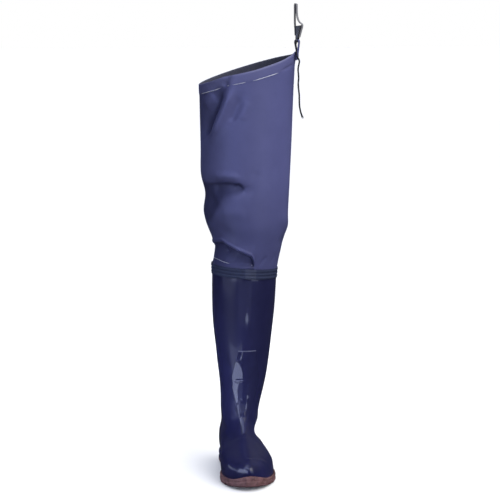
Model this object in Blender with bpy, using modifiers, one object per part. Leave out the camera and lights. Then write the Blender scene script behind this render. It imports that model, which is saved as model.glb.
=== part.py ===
"""Hip wader for the left leg, empty and standing on its sole.

The toe points along -Y, the outer side of the leg faces +X and the floor is Z = 0.
The origin lies on the floor under the ankle. Sizes and tables are in millimetres.
"""

import bisect
import math
from collections import namedtuple

import bmesh
import bpy
from mathutils import Vector

# Metres in a millimetre
MM = 0.001

# Columns of points round each section, from the front down the outer side and back up the inner side
SIDE_STEPS = 20
COLUMNS = 2 * SIDE_STEPS

# Clearance between neighbouring pieces
GAP = 0.35

# Boot
BOOT_WALL = 2.2
FEATHER_LEVEL = 19.0
FOXING_LEVEL = 27.0
BOOT_TOP_LEVEL = 404.0
TOE_TIP_Y = -211.0
TOE_FULLNESS_OUT = 0.73
TOE_FULLNESS_IN = 0.82

# Outsole and insole
LIP_THICKNESS = 2.6
TOE_SPRING = 9.0
TOE_SPRING_START_Y = -138.0
HEEL_BREAST_Y = -12.0
ARCH_HEIGHT = 7.0
ARCH_CROWN_Y = -34.0
ARCH_END_Y = -50.0
LUG_DEPTH = 4.0
LUG_GROOVE = 5.0
LUG_SLANT = 7.0
HEEL_GROOVES_Y = (18.0, 37.0, 55.0)
FOREFOOT_GROOVES_Y = (-70.0, -86.0, -102.0, -118.0, -134.0, -150.0, -166.0, -182.0)
INSOLE_THICKNESS = 3.0
INSOLE_CLEARANCE = 0.8
CUTTER_REACH = 80.0
CUTTER_DROP = 5.0

# Shin panel
PANEL_THICKNESS = 1.0
PANEL_GAP = 0.55
PANEL_STEPS = 8

# Knee tape
TAPE_HEIGHT = 20.0
TAPE_THICKNESS = 1.3
TAPE_LAP = 0.8
TAPE_LAP_COLUMNS = 1

# Thigh leg
LEG_WALL = 1.0
LEG_START_LEVEL = 404.4
HEM_TOP_LEVEL = 807.0
HEM_HEIGHT = 20.0
HEM_STEP = 1.0
HEM_PEAK = 9.0
HEM_PEAK_SPREAD = 17.0
HIP_COLUMN = 8
LEG_LEVEL_STEP = 16.0
LEG_RADIUS = 85.0

# Hip strap, in its own frame: X outward from the hem, Z up from the hem's peak
STRAP_WIDTH = 24.0
TAB_THICKNESS = 1.5
WEBBING_THICKNESS = 1.4
BUCKLE_WIDTH = 32.0
BUCKLE_WINDOW = 25.0
CORD_DIAMETER = 3.4
KNOT_RADIUS = 3.4

# Middle line of the foot from toe to heel
CentrePoint = namedtuple("CentrePoint", "name y x")
CENTRE_LINE = (
    CentrePoint("toe", -212.0, -6.0),
    CentrePoint("little toe", -150.0, -2.5),
    CentrePoint("ball", -90.0, 1.0),
    CentrePoint("waist", -20.0, 3.2),
    CentrePoint("heel", 76.0, 4.2),
)

FootSection = namedtuple(
    "FootSection",
    "name back_y back_z front_y front_z mid_x rear ball_out ball_in arch "
    "back_round front_round dip toe_rise",
)
FOOT_SECTIONS = (
    FootSection("feather", 71.0, 19.0, -206.0, 20.0, 0.0, 31.5, 54.0, 45.5, 10.0, 0.20, 0.29, 10.5, 0.14),
    FootSection("foxing", 74.5, 27.0, -211.0, 31.5, 0.0, 34.2, 57.0, 48.5, 9.5, 0.20, 0.29, 13.0, 0.14),
    FootSection("toe side", 76.0, 42.0, -209.5, 43.0, -1.0, 36.0, 54.5, 48.0, 7.0, 0.21, 0.31, 8.0, 0.30),
    FootSection("toe crown", 75.5, 55.0, -199.0, 54.0, -1.5, 36.2, 47.0, 44.0, 3.0, 0.23, 0.36, 5.0, 0.40),
    FootSection("toe top", 73.5, 66.0, -176.0, 60.0, -2.2, 35.4, 39.5, 38.0, 0.0, 0.26, 0.42, 3.0, 0.50),
    FootSection("vamp", 71.0, 75.0, -146.0, 66.0, -2.2, 34.9, 34.5, 33.5, 0.0, 0.30, 0.48, 1.0, 0.50),
    FootSection("instep", 68.5, 84.0, -116.0, 74.0, -0.8, 35.0, 33.0, 32.0, 0.0, 0.36, 0.50, 0.0, 0.50),
    FootSection("throat", 66.0, 93.0, -92.0, 86.0, 0.6, 35.6, 34.0, 33.0, 0.0, 0.43, 0.50, 0.0, 0.50),
    FootSection("bend", 63.5, 104.0, -76.0, 102.0, 1.8, 36.8, 36.5, 36.0, 0.0, 0.49, 0.50, 0.0, 0.50),
)

LegSection = namedtuple("LegSection", "name height tilt inner_x outer_x back_y front_y")
SHAFT_SECTIONS = (
    LegSection("ankle", 121.0, 0.0, -32.0, 43.5, 61.0, -65.0),
    LegSection("low shin", 150.0, 0.0, -32.0, 51.0, 60.0, -60.0),
    LegSection("shin", 187.0, 0.0, -34.5, 60.8, 60.5, -58.0),
    LegSection("low calf", 235.0, 0.0, -42.0, 67.5, 63.0, -59.0),
    LegSection("calf", 284.0, 0.0, -48.5, 73.0, 66.0, -62.0),
    LegSection("high calf", 335.0, -2.0, -50.0, 78.5, 67.0, -65.0),
    LegSection("boot top", 404.0, -4.5, -49.5, 81.0, 66.5, -69.0),
)
THIGH_SECTIONS = (
    LegSection("tape line", 404.4, -4.5, -49.5, 81.0, 66.5, -69.0),
    LegSection("over tape", 421.0, -5.0, -50.0, 83.0, 67.5, -72.0),
    LegSection("tuck", 444.0, -5.0, -46.0, 87.0, 70.0, -78.0),
    LegSection("knee", 468.0, -3.0, -49.0, 94.5, 77.0, -84.0),
    LegSection("sag", 493.0, -1.0, -60.0, 101.5, 83.0, -90.0),
    LegSection("low thigh", 528.0, 2.0, -67.5, 104.0, 87.0, -93.0),
    LegSection("dent", 566.0, 5.0, -62.5, 106.0, 89.0, -95.0),
    LegSection("mid thigh", 604.0, 9.0, -72.0, 108.0, 91.0, -97.0),
    LegSection("thigh", 662.0, 14.0, -72.5, 110.5, 93.0, -100.0),
    LegSection("high thigh", 735.0, 22.0, -74.0, 113.0, 94.0, -103.0),
    LegSection("hem line", 787.0, 28.5, -75.0, 116.0, 95.0, -105.0),
    LegSection("hem top", 807.0, 29.5, -75.5, 117.0, 95.5, -106.0),
)

# Folds of the thigh leg run from a to b. Angles are degrees from the front, positive to the outer side.
Fold = namedtuple("Fold", "name angle_a height_a angle_b height_b depth reach")
FOLDS = (
    Fold("crotch trough", -46.0, 768.0, -80.0, 690.0, -8.0, 17.0),
    Fold("crotch ridge", -26.0, 766.0, -58.0, 682.0, 5.0, 15.0),
    Fold("front trough", -16.0, 756.0, -30.0, 712.0, -3.5, 14.0),
    Fold("mid trough", -62.0, 579.0, -12.0, 578.0, -5.0, 14.0),
    Fold("mid roll", -66.0, 552.0, -16.0, 556.0, 3.0, 16.0),
    Fold("knee ridge", -58.0, 473.0, 2.0, 440.0, 6.0, 13.0),
    Fold("knee trough", -64.0, 458.0, -8.0, 427.0, -7.0, 12.0),
    Fold("hock trough", 145.0, 462.0, 215.0, 458.0, -6.0, 14.0),
    Fold("hock roll", 140.0, 486.0, 220.0, 482.0, 4.0, 16.0),
)

# Half widths of the shin panel at levels of the shaft
PanelWidth = namedtuple("PanelWidth", "name level half")
PANEL_WIDTHS = (
    PanelWidth("point", 93.0, 3.0),
    PanelWidth("lower", 121.0, 12.5),
    PanelWidth("middle", 150.0, 20.0),
    PanelWidth("widest", 181.0, 28.0),
    PanelWidth("upper", 215.0, 23.2),
    PanelWidth("top", 248.0, 18.5),
)

# Steps of the outsole's side, from the tread up: how far each stands out, at which share of its height
SoleStep = namedtuple("SoleStep", "name out share")
SOLE_STEPS = (
    SoleStep("tread edge", -2.0, 0.0),
    SoleStep("tread wall", 0.0, 0.12),
    SoleStep("lower wall", 0.2, 0.46),
    SoleStep("groove floor", -1.2, 0.51),
    SoleStep("groove top", -1.2, 0.60),
    SoleStep("foxing", 0.0, 0.65),
    SoleStep("foxing lip", -0.3, 0.93),
    SoleStep("lip", -1.2, 1.0),
)

# Routes of the hip strap's pieces, across (X) and up (Z)
TAB_ROUTE = (
    (1.4, -18.0), (1.4, -6.0), (1.2, 2.0), (-0.6, 11.0), (-1.8, 19.0), (-0.6, 21.9), (2.2, 23.2),
    (5.0, 21.9), (6.2, 19.0), (5.6, 12.0), (4.6, 4.0), (3.7, -3.0), (3.5, -14.0),
)
WEBBING_ROUTE = (
    (6.8, 27.0), (9.1, 36.0), (12.7, 49.6), (12.1, 53.0), (9.5, 54.6), (6.4, 57.5), (3.6, 63.0),
    (1.9, 71.0), (1.3, 80.0), (1.2, 91.5), (0.6, 93.0), (-0.65, 93.6), (-1.9, 93.0), (-2.5, 91.5),
    (-2.5, 76.0), (-2.5, 60.0), (-2.2, 52.0), (-1.4, 43.0), (-0.9, 31.0),
)
BUCKLE_OUTLINE = ((0.4, 17.0), (4.0, 17.0), (4.4, 22.0), (11.5, 49.5), (10.2, 51.0), (0.6, 49.5))
BUCKLE_WINDOWS = ((21.0, 31.5), (35.5, 45.0))
KNOT_PLACE = (1.4, -19.8, 16.8)

CordPoint = namedtuple("CordPoint", "across along up")
CORD_ROUTE = (
    CordPoint(1.6, -19.7, 13.0), CordPoint(2.9, -19.4, 3.5), CordPoint(4.3, -18.6, -10.0),
    CordPoint(8.7, -17.4, -18.5), CordPoint(6.4, -17.0, -34.0), CordPoint(7.5, -17.4, -51.5),
    CordPoint(6.9, -18.0, -65.0), CordPoint(8.9, -18.4, -85.0), CordPoint(9.5, -18.2, -105.0),
    CordPoint(11.5, -17.8, -117.5), CordPoint(14.4, -17.4, -126.5),
)
CORD_POINTS = 26


def curve_through(stations, values, at):
    """Reads a smooth curve that passes through the values at rising stations."""
    last = len(stations) - 1
    index = max(0, min(last - 1, bisect.bisect_right(stations, at) - 1))
    span = stations[index + 1] - stations[index]
    share = (at - stations[index]) / span
    slopes = []
    for knot in (index, index + 1):
        before = max(knot - 1, 0)
        after = min(knot + 1, last)
        slopes.append((values[after] - values[before]) * (span / (stations[after] - stations[before])))
    square = share * share
    cube = square * share
    start = values[index] * (2.0 * cube - 3.0 * square + 1.0)
    end = values[index + 1] * (3.0 * square - 2.0 * cube)
    return start + end + slopes[0] * (cube - 2.0 * square + share) + slopes[1] * (cube - square)


def straight_through(stations, values, at):
    """Reads the straight steps between the values at rising stations."""
    index = max(0, min(len(stations) - 2, bisect.bisect_right(stations, at) - 1))
    share = (at - stations[index]) / (stations[index + 1] - stations[index])
    return values[index] * (1.0 - share) + values[index + 1] * share


def smooth(share):
    share = max(0.0, min(1.0, share))
    return share * share * (3.0 - 2.0 * share)


def end_round(share, round_share):
    """Rounds an outline off to nothing over the last share of its length."""
    if share >= round_share:
        return 1.0
    return math.sqrt(max(0.0, 1.0 - (1.0 - share / round_share) ** 2))


def centre_line(y):
    """Where the last's middle line runs: out under the heel, in towards the toe."""
    return curve_through([point.y for point in CENTRE_LINE], [point.x for point in CENTRE_LINE], y)


def dip_share(share, toe_rise):
    """How much of a section's dip applies along the foot: none at heel and toe tip, all at the ball."""
    toe = max(0.0, (share - 1.0 + toe_rise) / toe_rise)
    return smooth((share - 0.20) / 0.22) * (1.0 - toe ** 1.8)


def foot_ring(section):
    """Closed section of the foot: heel, waist, ball and toe from the section's own sizes."""
    ring = []
    for column in range(COLUMNS):
        angle = 2.0 * math.pi * column / COLUMNS
        share = 0.5 * (1.0 + math.cos(angle))
        outer = math.sin(angle) >= 0.0
        ball = section.ball_out if outer else section.ball_in
        drawn_in = section.arch * (0.55 if outer else 1.0)
        waist = 0.5 * (section.rear + ball) - drawn_in
        toe = TOE_FULLNESS_OUT if outer else TOE_FULLNESS_IN
        half = curve_through(
            (0.0, 0.16, 0.42, 0.66, 0.86, 1.0),
            (section.rear, section.rear, waist, ball, 0.5 * (1.0 + toe) * ball, toe * ball),
            share,
        )
        half *= end_round(share, section.back_round) * end_round(1.0 - share, section.front_round)
        y = section.back_y + (section.front_y - section.back_y) * share
        dip = section.dip * dip_share(share, section.toe_rise)
        z = section.back_z + (section.front_z - section.back_z) * share - dip
        x = section.mid_x + centre_line(y) + (half if outer else -half)
        ring.append(Vector((x, y, z)))
    return ring


def oval_ring(section):
    """Closed oval section of the shaft or the thigh leg, raised towards the outer side by its tilt."""
    ring = []
    half = 0.5 * (section.outer_x - section.inner_x)
    mid_x = 0.5 * (section.outer_x + section.inner_x)
    depth = 0.5 * (section.back_y - section.front_y)
    mid_y = 0.5 * (section.back_y + section.front_y)
    for column in range(COLUMNS):
        angle = 2.0 * math.pi * column / COLUMNS
        x = mid_x + half * math.sin(angle)
        y = mid_y - depth * math.cos(angle)
        ring.append(Vector((x, y, section.height + section.tilt * math.sin(angle))))
    return ring


def spread(ring, distance):
    """Moves each point of a ring outward, square to the ring and level."""
    moved = []
    for column, point in enumerate(ring):
        along = ring[(column + 1) % COLUMNS] - ring[column - 1]
        outward = Vector((along.y, -along.x, 0.0)).normalized()
        moved.append(point + outward * distance)
    return moved


def raised(ring, distance):
    return [point + Vector((0.0, 0.0, distance)) for point in ring]


BOOT_STATIONS = [section.back_z for section in FOOT_SECTIONS]
BOOT_STATIONS += [section.height for section in SHAFT_SECTIONS]
BOOT_RINGS = [foot_ring(section) for section in FOOT_SECTIONS]
BOOT_RINGS += [oval_ring(section) for section in SHAFT_SECTIONS]
THIGH_STATIONS = [section.height for section in THIGH_SECTIONS]
THIGH_RINGS = [oval_ring(section) for section in THIGH_SECTIONS]


def section_at(stations, rings, level):
    return [curve_through(stations, [ring[column] for ring in rings], level) for column in range(COLUMNS)]


def boot_ring(level):
    """Section of the boot at any level, named by the height of its back."""
    return section_at(BOOT_STATIONS, BOOT_RINGS, level)


def boot_levels():
    """Levels of the boot's rings: every section, and one more between each two up to the shin."""
    levels = []
    for low, high in zip(BOOT_STATIONS, BOOT_STATIONS[1:]):
        levels.append(low)
        if high <= 150.0:
            levels.append(0.5 * (low + high))
    return levels + [BOOT_TOP_LEVEL]


def boot_ring_as_built(level):
    """Section of the boot's wall, straight between the rings that it is built from."""
    levels = boot_levels()
    rings = [boot_ring(each) for each in levels]
    return [straight_through(levels, [ring[column] for ring in rings], level) for column in range(COLUMNS)]


def fold_depth(angle, height):
    """How far the folds push the leg's wall out at an angle from the front and a height."""
    pushed = 0.0
    for fold in FOLDS:
        turn = (angle - fold.angle_a + 180.0) % 360.0 - 180.0
        run_round = math.radians(fold.angle_b - fold.angle_a) * LEG_RADIUS
        run = Vector((run_round, fold.height_b - fold.height_a))
        place = Vector((math.radians(turn) * LEG_RADIUS, height - fold.height_a))
        share = max(0.0, min(1.0, place.dot(run) / run.length_squared))
        away = (place - run * share).length / fold.reach
        if away < 1.0:
            fade = smooth(share / 0.25) * smooth((1.0 - share) / 0.25)
            pushed += fold.depth * (0.35 + 0.65 * fade) * (1.0 - away * away) ** 2
    return pushed


def leg_ring(level):
    """Section of the thigh leg at any level, with its folds clear of the tape and the peak of its hem."""
    ring = section_at(THIGH_STATIONS, THIGH_RINGS, level)
    rise = smooth((level - HEM_TOP_LEVEL + 70.0) / 70.0)
    loose = smooth((level - LEG_START_LEVEL - 0.5 * TAPE_HEIGHT) / 14.0)
    folded = []
    for column, point in enumerate(ring):
        angle = 360.0 * column / COLUMNS
        along = ring[(column + 1) % COLUMNS] - ring[column - 1]
        outward = Vector((along.y, -along.x, 0.0)).normalized()
        from_hip = (column - HIP_COLUMN) * 360.0 / COLUMNS
        peak = HEM_PEAK * rise * math.exp(-((from_hip / HEM_PEAK_SPREAD) ** 2))
        folded.append(point + outward * fold_depth(angle, point.z) * loose + Vector((0.0, 0.0, peak)))
    return folded


def sole_underside(y):
    """Height of the tread: flat under heel and ball, rising to the toe."""
    rise = max(0.0, (TOE_SPRING_START_Y - y) / (TOE_SPRING_START_Y - TOE_TIP_Y))
    return TOE_SPRING * rise ** 1.8


def walk(ring, distance):
    """Point on a ring at a distance from its front, positive to the outer side."""
    step = 1 if distance >= 0.0 else -1
    left = abs(distance)
    column = 0
    while True:
        here = ring[column % COLUMNS]
        there = ring[(column + step) % COLUMNS]
        length = (there - here).length
        if left <= length:
            return here.lerp(there, left / length)
        left -= length
        column += step


def smooth_route(route, count):
    """Points along a smooth curve through a route's own points."""
    points = [Vector(point) for point in route]
    stations = [0.0]
    for before, after in zip(points, points[1:]):
        stations.append(stations[-1] + (after - before).length)
    return [curve_through(stations, points, stations[-1] * step / (count - 1)) for step in range(count)]


def add_object(name, mesh, material=None):
    for polygon in mesh.polygons:
        polygon.use_smooth = True
    obj = bpy.data.objects.new(name, mesh)
    if material:
        mesh.materials.append(material)
        wader.objects.link(obj)
    else:
        cutters.objects.link(obj)
        obj.hide_render = True
        obj.display_type = "WIRE"
    return obj


def ladder(points, up):
    """Closes a ring with rungs from its outer side to its inner side."""
    faces = []
    for step in range(SIDE_STEPS):
        rung = [step, step + 1, COLUMNS - step - 1, (COLUMNS - step) % COLUMNS]
        corners = list(dict.fromkeys(rung))
        faces.append([points[corner] for corner in (corners if up else reversed(corners))])
    return faces


def skin_mesh(name, rings, loop=False, capped=False):
    """Lofts rings from one to the next: open, looped back to the first ring, or capped at both ends.

    A face inside a wall starts at another corner, so that both sides of the wall fold along the same diagonal.
    """
    shape = bmesh.new()
    rows = [[shape.verts.new(point * MM) for point in ring] for ring in rings]
    pairs = list(zip(rows, rows[1:]))
    if loop:
        pairs.append((rows[-1], rows[0]))
    for low, high in pairs:
        inside = high[0].co.z < low[0].co.z
        for column in range(COLUMNS):
            after = (column + 1) % COLUMNS
            corners = (low[column], low[after], high[after], high[column])
            shape.faces.new(corners[1:] + corners[:1] if inside else corners)
    if capped:
        for face in ladder(rows[0], up=False) + ladder(rows[-1], up=True):
            shape.faces.new(face)
    mesh = bpy.data.meshes.new(name)
    shape.to_mesh(mesh)
    shape.free()
    return mesh


def prism_mesh(name, outlines):
    """Solid between each flat outline and the same outline moved along: pairs of outline and run."""
    shape = bmesh.new()
    for outline, run in outlines:
        face = shape.faces.new([shape.verts.new(Vector(point) * MM) for point in outline])
        grown = bmesh.ops.extrude_face_region(shape, geom=[face])
        moved = [item for item in grown["geom"] if isinstance(item, bmesh.types.BMVert)]
        bmesh.ops.translate(shape, verts=moved, vec=Vector(run) * MM)
    bmesh.ops.recalc_face_normals(shape, faces=shape.faces)
    mesh = bpy.data.meshes.new(name)
    shape.to_mesh(mesh)
    shape.free()
    return mesh


def add_wall(obj, thickness, side):
    wall = obj.modifiers.new("wall", "SOLIDIFY")
    wall.thickness = thickness * MM
    wall.offset = side
    wall.use_even_offset = True


def cut(obj, cutter):
    difference = obj.modifiers.new("cut", "BOOLEAN")
    difference.operation = "DIFFERENCE"
    difference.solver = "EXACT"
    difference.object = cutter


def add_ribbon(name, route, count, thickness, material, place):
    """Flat strip along a route, as wide as the strap, set at a place."""
    shape = bmesh.new()
    rows = []
    for point in smooth_route(route, count):
        ends = [Vector((point.x, side * STRAP_WIDTH, point.y)) for side in (-0.5, 0.5)]
        rows.append([shape.verts.new(end * MM) for end in ends])
    for low, high in zip(rows, rows[1:]):
        shape.faces.new((low[0], low[1], high[1], high[0]))
    mesh = bpy.data.meshes.new(name)
    shape.to_mesh(mesh)
    shape.free()
    strip = add_object(name, mesh, material)
    strip.parent = place
    add_wall(strip, thickness, 0.0)


def make_material(name, colour, roughness):
    material = bpy.data.materials.new(name)
    material.use_nodes = True
    shader = material.node_tree.nodes["Principled BSDF"]
    shader.inputs["Base Color"].default_value = (*colour, 1.0)
    shader.inputs["Roughness"].default_value = roughness
    return material


for old in list(bpy.data.objects):
    bpy.data.objects.remove(old, do_unlink=True)

wader = bpy.data.collections.new("hip_wader")
cutters = bpy.data.collections.new("cutters")
bpy.context.scene.collection.children.link(wader)
bpy.context.scene.collection.children.link(cutters)

boot_rubber = make_material("boot_rubber", (0.016, 0.017, 0.070), 0.22)
panel_rubber = make_material("panel_rubber", (0.020, 0.021, 0.080), 0.20)
sole_rubber = make_material("sole_rubber", (0.155, 0.062, 0.070), 0.65)
footbed_cloth = make_material("footbed_cloth", (0.060, 0.060, 0.065), 0.90)
tape_cloth = make_material("tape_cloth", (0.028, 0.034, 0.078), 0.60)
leg_cloth = make_material("leg_cloth", (0.085, 0.088, 0.235), 0.50)
tab_cloth = make_material("tab_cloth", (0.085, 0.088, 0.220), 0.55)
buckle_plastic = make_material("buckle_plastic", (0.012, 0.012, 0.014), 0.40)
webbing_cloth = make_material("webbing_cloth", (0.30, 0.30, 0.33), 0.80)
cord_cloth = make_material("cord_cloth", (0.010, 0.010, 0.012), 0.80)
knot_cloth = make_material("knot_cloth", (0.010, 0.010, 0.012), 0.80)

# Boot: one wall through the sections of foot and shaft
levels = boot_levels()
boot_mesh = skin_mesh("boot_upper", [boot_ring(level) for level in levels])
boot = add_object("boot_upper", boot_mesh, boot_rubber)
add_wall(boot, BOOT_WALL, -1.0)

# Outsole: steps of the side, over the lip, down inside to the seat under the boot's edge
foxing_ring = boot_ring(FOXING_LEVEL)
side_base = spread(foxing_ring, GAP + LIP_THICKNESS)
sole_rings = []
for step in SOLE_STEPS:
    ring = spread(side_base, step.out)
    for point, top in zip(ring, foxing_ring):
        low = sole_underside(point.y)
        point.z = low + (top.z - low) * step.share
    sole_rings.append(ring)
for level in (FOXING_LEVEL, 0.5 * (FEATHER_LEVEL + FOXING_LEVEL), FEATHER_LEVEL):
    sole_rings.append(spread(boot_ring(level), GAP))
sole_rings[-1] = raised(sole_rings[-1], -GAP)
outsole = add_object("outsole", skin_mesh("outsole", sole_rings, capped=True), sole_rubber)

arch = (
    (HEEL_BREAST_Y, -CUTTER_DROP),
    (HEEL_BREAST_Y, ARCH_HEIGHT),
    (ARCH_CROWN_Y, ARCH_HEIGHT),
    (ARCH_END_Y, 0.0),
    (ARCH_END_Y - 8.0, -CUTTER_DROP),
)
tread_cuts = [([(-CUTTER_REACH, y, z) for y, z in arch], (2.0 * CUTTER_REACH, 0.0, 0.0))]
for y in HEEL_GROOVES_Y + FOREFOOT_GROOVES_Y:
    near = y - 0.5 * LUG_GROOVE
    far = y + 0.5 * LUG_GROOVE
    chevron = (
        (-CUTTER_REACH, near + LUG_SLANT),
        (0.0, near),
        (CUTTER_REACH, near + LUG_SLANT),
        (CUTTER_REACH, far + LUG_SLANT),
        (0.0, far),
        (-CUTTER_REACH, far + LUG_SLANT),
    )
    groove_height = CUTTER_DROP + sole_underside(y) + LUG_DEPTH
    tread_cuts.append(([(x, at, -CUTTER_DROP) for x, at in chevron], (0.0, 0.0, groove_height)))
cut(outsole, add_object("tread_cutter", prism_mesh("tread_cutter", tread_cuts)))

# Insole: lies on the seat inside the boot's wall
footbed = spread(boot_ring(FEATHER_LEVEL), -(BOOT_WALL + INSOLE_CLEARANCE))
insole_rings = [footbed, raised(footbed, INSOLE_THICKNESS)]
add_object("insole", skin_mesh("insole", insole_rings, capped=True), footbed_cloth)
# Shin panel: cut from the boot's own wall, raised over it
panel_stations = [row.level for row in PANEL_WIDTHS]
panel_halves = [row.half for row in PANEL_WIDTHS]
inner_levels = [level for level in levels if panel_stations[0] < level < panel_stations[-1]]
panel_levels = sorted(set(inner_levels + panel_stations))
panel_shape = bmesh.new()
panel_rows = []
for level in panel_levels:
    ring = boot_ring_as_built(level)
    half = straight_through(panel_stations, panel_halves, level)
    shares = [2.0 * step / PANEL_STEPS - 1.0 for step in range(PANEL_STEPS + 1)]
    panel_rows.append([panel_shape.verts.new(walk(ring, half * share) * MM) for share in shares])
for low, high in zip(panel_rows, panel_rows[1:]):
    for step in range(PANEL_STEPS):
        panel_shape.faces.new((low[step], low[step + 1], high[step + 1], high[step]))
panel_shape.normal_update()
for corner in panel_shape.verts:
    corner.co += corner.normal * PANEL_GAP * MM
panel_mesh = bpy.data.meshes.new("shin_panel")
panel_shape.to_mesh(panel_mesh)
panel_shape.free()
add_wall(add_object("shin_panel", panel_mesh, panel_rubber), PANEL_THICKNESS, 1.0)

# Thigh leg: one wall from the tape to the hem, with the folded hem as a step outside
hem_line = HEM_TOP_LEVEL - HEM_HEIGHT
tape_top = LEG_START_LEVEL + 0.5 * TAPE_HEIGHT
leg_count = round((hem_line - tape_top) / LEG_LEVEL_STEP)
leg_levels = [LEG_START_LEVEL]
for step in range(leg_count + 1):
    leg_levels.append(tape_top + (hem_line - tape_top) * step / leg_count)
leg_outside = [leg_ring(level) for level in leg_levels]
leg_inside = [spread(ring, -LEG_WALL) for ring in leg_outside]
hem_ring = leg_ring(HEM_TOP_LEVEL)
leg_outside.append(spread(raised(leg_outside[-1], 0.8), HEM_STEP))
leg_outside.append(spread(hem_ring, HEM_STEP))
leg_inside.append(spread(hem_ring, -LEG_WALL))
leg_rings = leg_outside + leg_inside[::-1]
add_object("thigh_leg", skin_mesh("thigh_leg", leg_rings, loop=True), leg_cloth)

# Knee tape: round the joint of boot and leg, its end lapped over at the front
tape_low = boot_ring_as_built(BOOT_TOP_LEVEL - 0.5 * TAPE_HEIGHT)
tape_mid = boot_ring(BOOT_TOP_LEVEL)
tape_high = leg_outside[1]
tape_inside = [spread(ring, GAP) for ring in (tape_low, tape_mid, tape_high)]
tape_outside = []
for ring in (tape_low, tape_mid, tape_high):
    thin = spread(ring, GAP + TAPE_THICKNESS)
    thick = spread(ring, GAP + TAPE_THICKNESS + TAPE_LAP)
    for column in range(-TAPE_LAP_COLUMNS, TAPE_LAP_COLUMNS + 1):
        thin[column] = thick[column]
    tape_outside.append(thin)
add_object("knee_tape", skin_mesh("knee_tape", tape_outside + tape_inside[::-1], loop=True), tape_cloth)

# Hip strap: placed on the outer side of the hem
hip = bpy.data.objects.new("hip_place", None)
wader.objects.link(hip)
hem_side = spread(hem_ring, HEM_STEP)
hip.location = hem_side[HIP_COLUMN] * MM
hem_run = hem_side[HIP_COLUMN + 1] - hem_side[HIP_COLUMN - 1]
hip.rotation_euler.z = math.atan2(-hem_run.x, hem_run.y)
add_ribbon("hip_tab", TAB_ROUTE, 26, TAB_THICKNESS, tab_cloth, hip)
add_ribbon("belt_webbing", WEBBING_ROUTE, 40, WEBBING_THICKNESS, webbing_cloth, hip)

buckle_profile = [(x, -0.5 * BUCKLE_WIDTH, z) for x, z in BUCKLE_OUTLINE]
buckle_mesh = prism_mesh("hip_buckle", [(buckle_profile, (0.0, BUCKLE_WIDTH, 0.0))])
buckle = add_object("hip_buckle", buckle_mesh, buckle_plastic)
buckle.parent = hip
window_cuts = []
for low, high in BUCKLE_WINDOWS:
    corners = ((0.0, low), (20.0, low), (20.0, high), (0.0, high))
    window_cuts.append(([(x, -0.5 * BUCKLE_WINDOW, z) for x, z in corners], (0.0, BUCKLE_WINDOW, 0.0)))
windows = add_object("buckle_cutter", prism_mesh("buckle_cutter", window_cuts))
windows.parent = hip
cut(buckle, windows)

# Cord: knotted at the buckle's front rail, its loose end hanging
bpy.ops.mesh.primitive_ico_sphere_add(subdivisions=2, radius=KNOT_RADIUS * MM)
knot_mesh = bpy.context.object.data
bpy.data.objects.remove(bpy.context.object, do_unlink=True)
knot = add_object("cord_knot", knot_mesh, knot_cloth)
knot.parent = hip
knot.location = Vector(KNOT_PLACE) * MM

cord_curve = bpy.data.curves.new("hip_cord", "CURVE")
cord_curve.dimensions = "3D"
cord_curve.bevel_depth = 0.5 * CORD_DIAMETER * MM
cord_curve.bevel_resolution = 2
cord_curve.use_fill_caps = True
spline = cord_curve.splines.new("POLY")
cord_points = smooth_route(CORD_ROUTE, CORD_POINTS)
spline.points.add(len(cord_points) - 1)
for point, place in zip(spline.points, cord_points):
    point.co = (*(place * MM), 1.0)
cord_curve.materials.append(cord_cloth)
cord = bpy.data.objects.new("hip_cord", cord_curve)
wader.objects.link(cord)
cord.parent = hip
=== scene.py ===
# %% [markdown]
# # A hip wader, dressed for its portrait
# A hip wader is a tall rubber boot with a tube of coated cloth welded on, so that it reaches the thigh.
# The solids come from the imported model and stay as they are. This lesson dresses them: each plain solid
# is copied, smoothed, creased and given the finish of the real thing.

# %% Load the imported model
import math
from collections import namedtuple
from contextlib import contextmanager

import bpy
import numpy as np
from mathutils import Matrix, Vector


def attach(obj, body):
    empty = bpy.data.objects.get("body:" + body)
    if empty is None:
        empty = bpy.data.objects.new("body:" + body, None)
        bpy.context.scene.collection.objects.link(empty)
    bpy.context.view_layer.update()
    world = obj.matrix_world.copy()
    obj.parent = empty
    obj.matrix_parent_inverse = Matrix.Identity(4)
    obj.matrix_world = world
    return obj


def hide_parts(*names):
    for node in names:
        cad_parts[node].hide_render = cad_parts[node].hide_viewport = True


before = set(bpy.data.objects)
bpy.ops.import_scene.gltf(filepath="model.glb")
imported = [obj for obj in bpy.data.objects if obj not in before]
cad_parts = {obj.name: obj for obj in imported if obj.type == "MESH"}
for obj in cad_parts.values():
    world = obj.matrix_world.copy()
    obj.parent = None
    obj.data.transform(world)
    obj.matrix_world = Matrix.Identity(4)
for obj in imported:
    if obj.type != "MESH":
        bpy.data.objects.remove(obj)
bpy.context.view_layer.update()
MM = 0.001
print("solids:", sorted(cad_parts))

# %% [markdown]
# ## The camera
# The wader is seen from a few steps away, a little from its inner side, from about hip height. A long
# lens keeps the leg straight. The camera comes first, because every later choice is judged through it.

# %% Camera
VIEW_TURN = math.radians(-9.0)
VIEW_PITCH = math.radians(8.0)
VIEW_DISTANCE = 3.6
VIEW_HEIGHT = 0.95

forward = Vector((-math.sin(VIEW_TURN), math.cos(VIEW_TURN), 0.0))
bpy.ops.object.camera_add(
    location=-forward * VIEW_DISTANCE + Vector((0.0, 0.0, VIEW_HEIGHT)),
    rotation=(math.radians(90.0) - VIEW_PITCH, 0.0, VIEW_TURN),
)
camera = bpy.context.object
camera.data.sensor_width = 36.0
camera.data.lens = 129.6
camera.data.shift_x = 0.027
bpy.context.scene.camera = camera
print("camera at", [round(v, 2) for v in camera.location])
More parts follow.
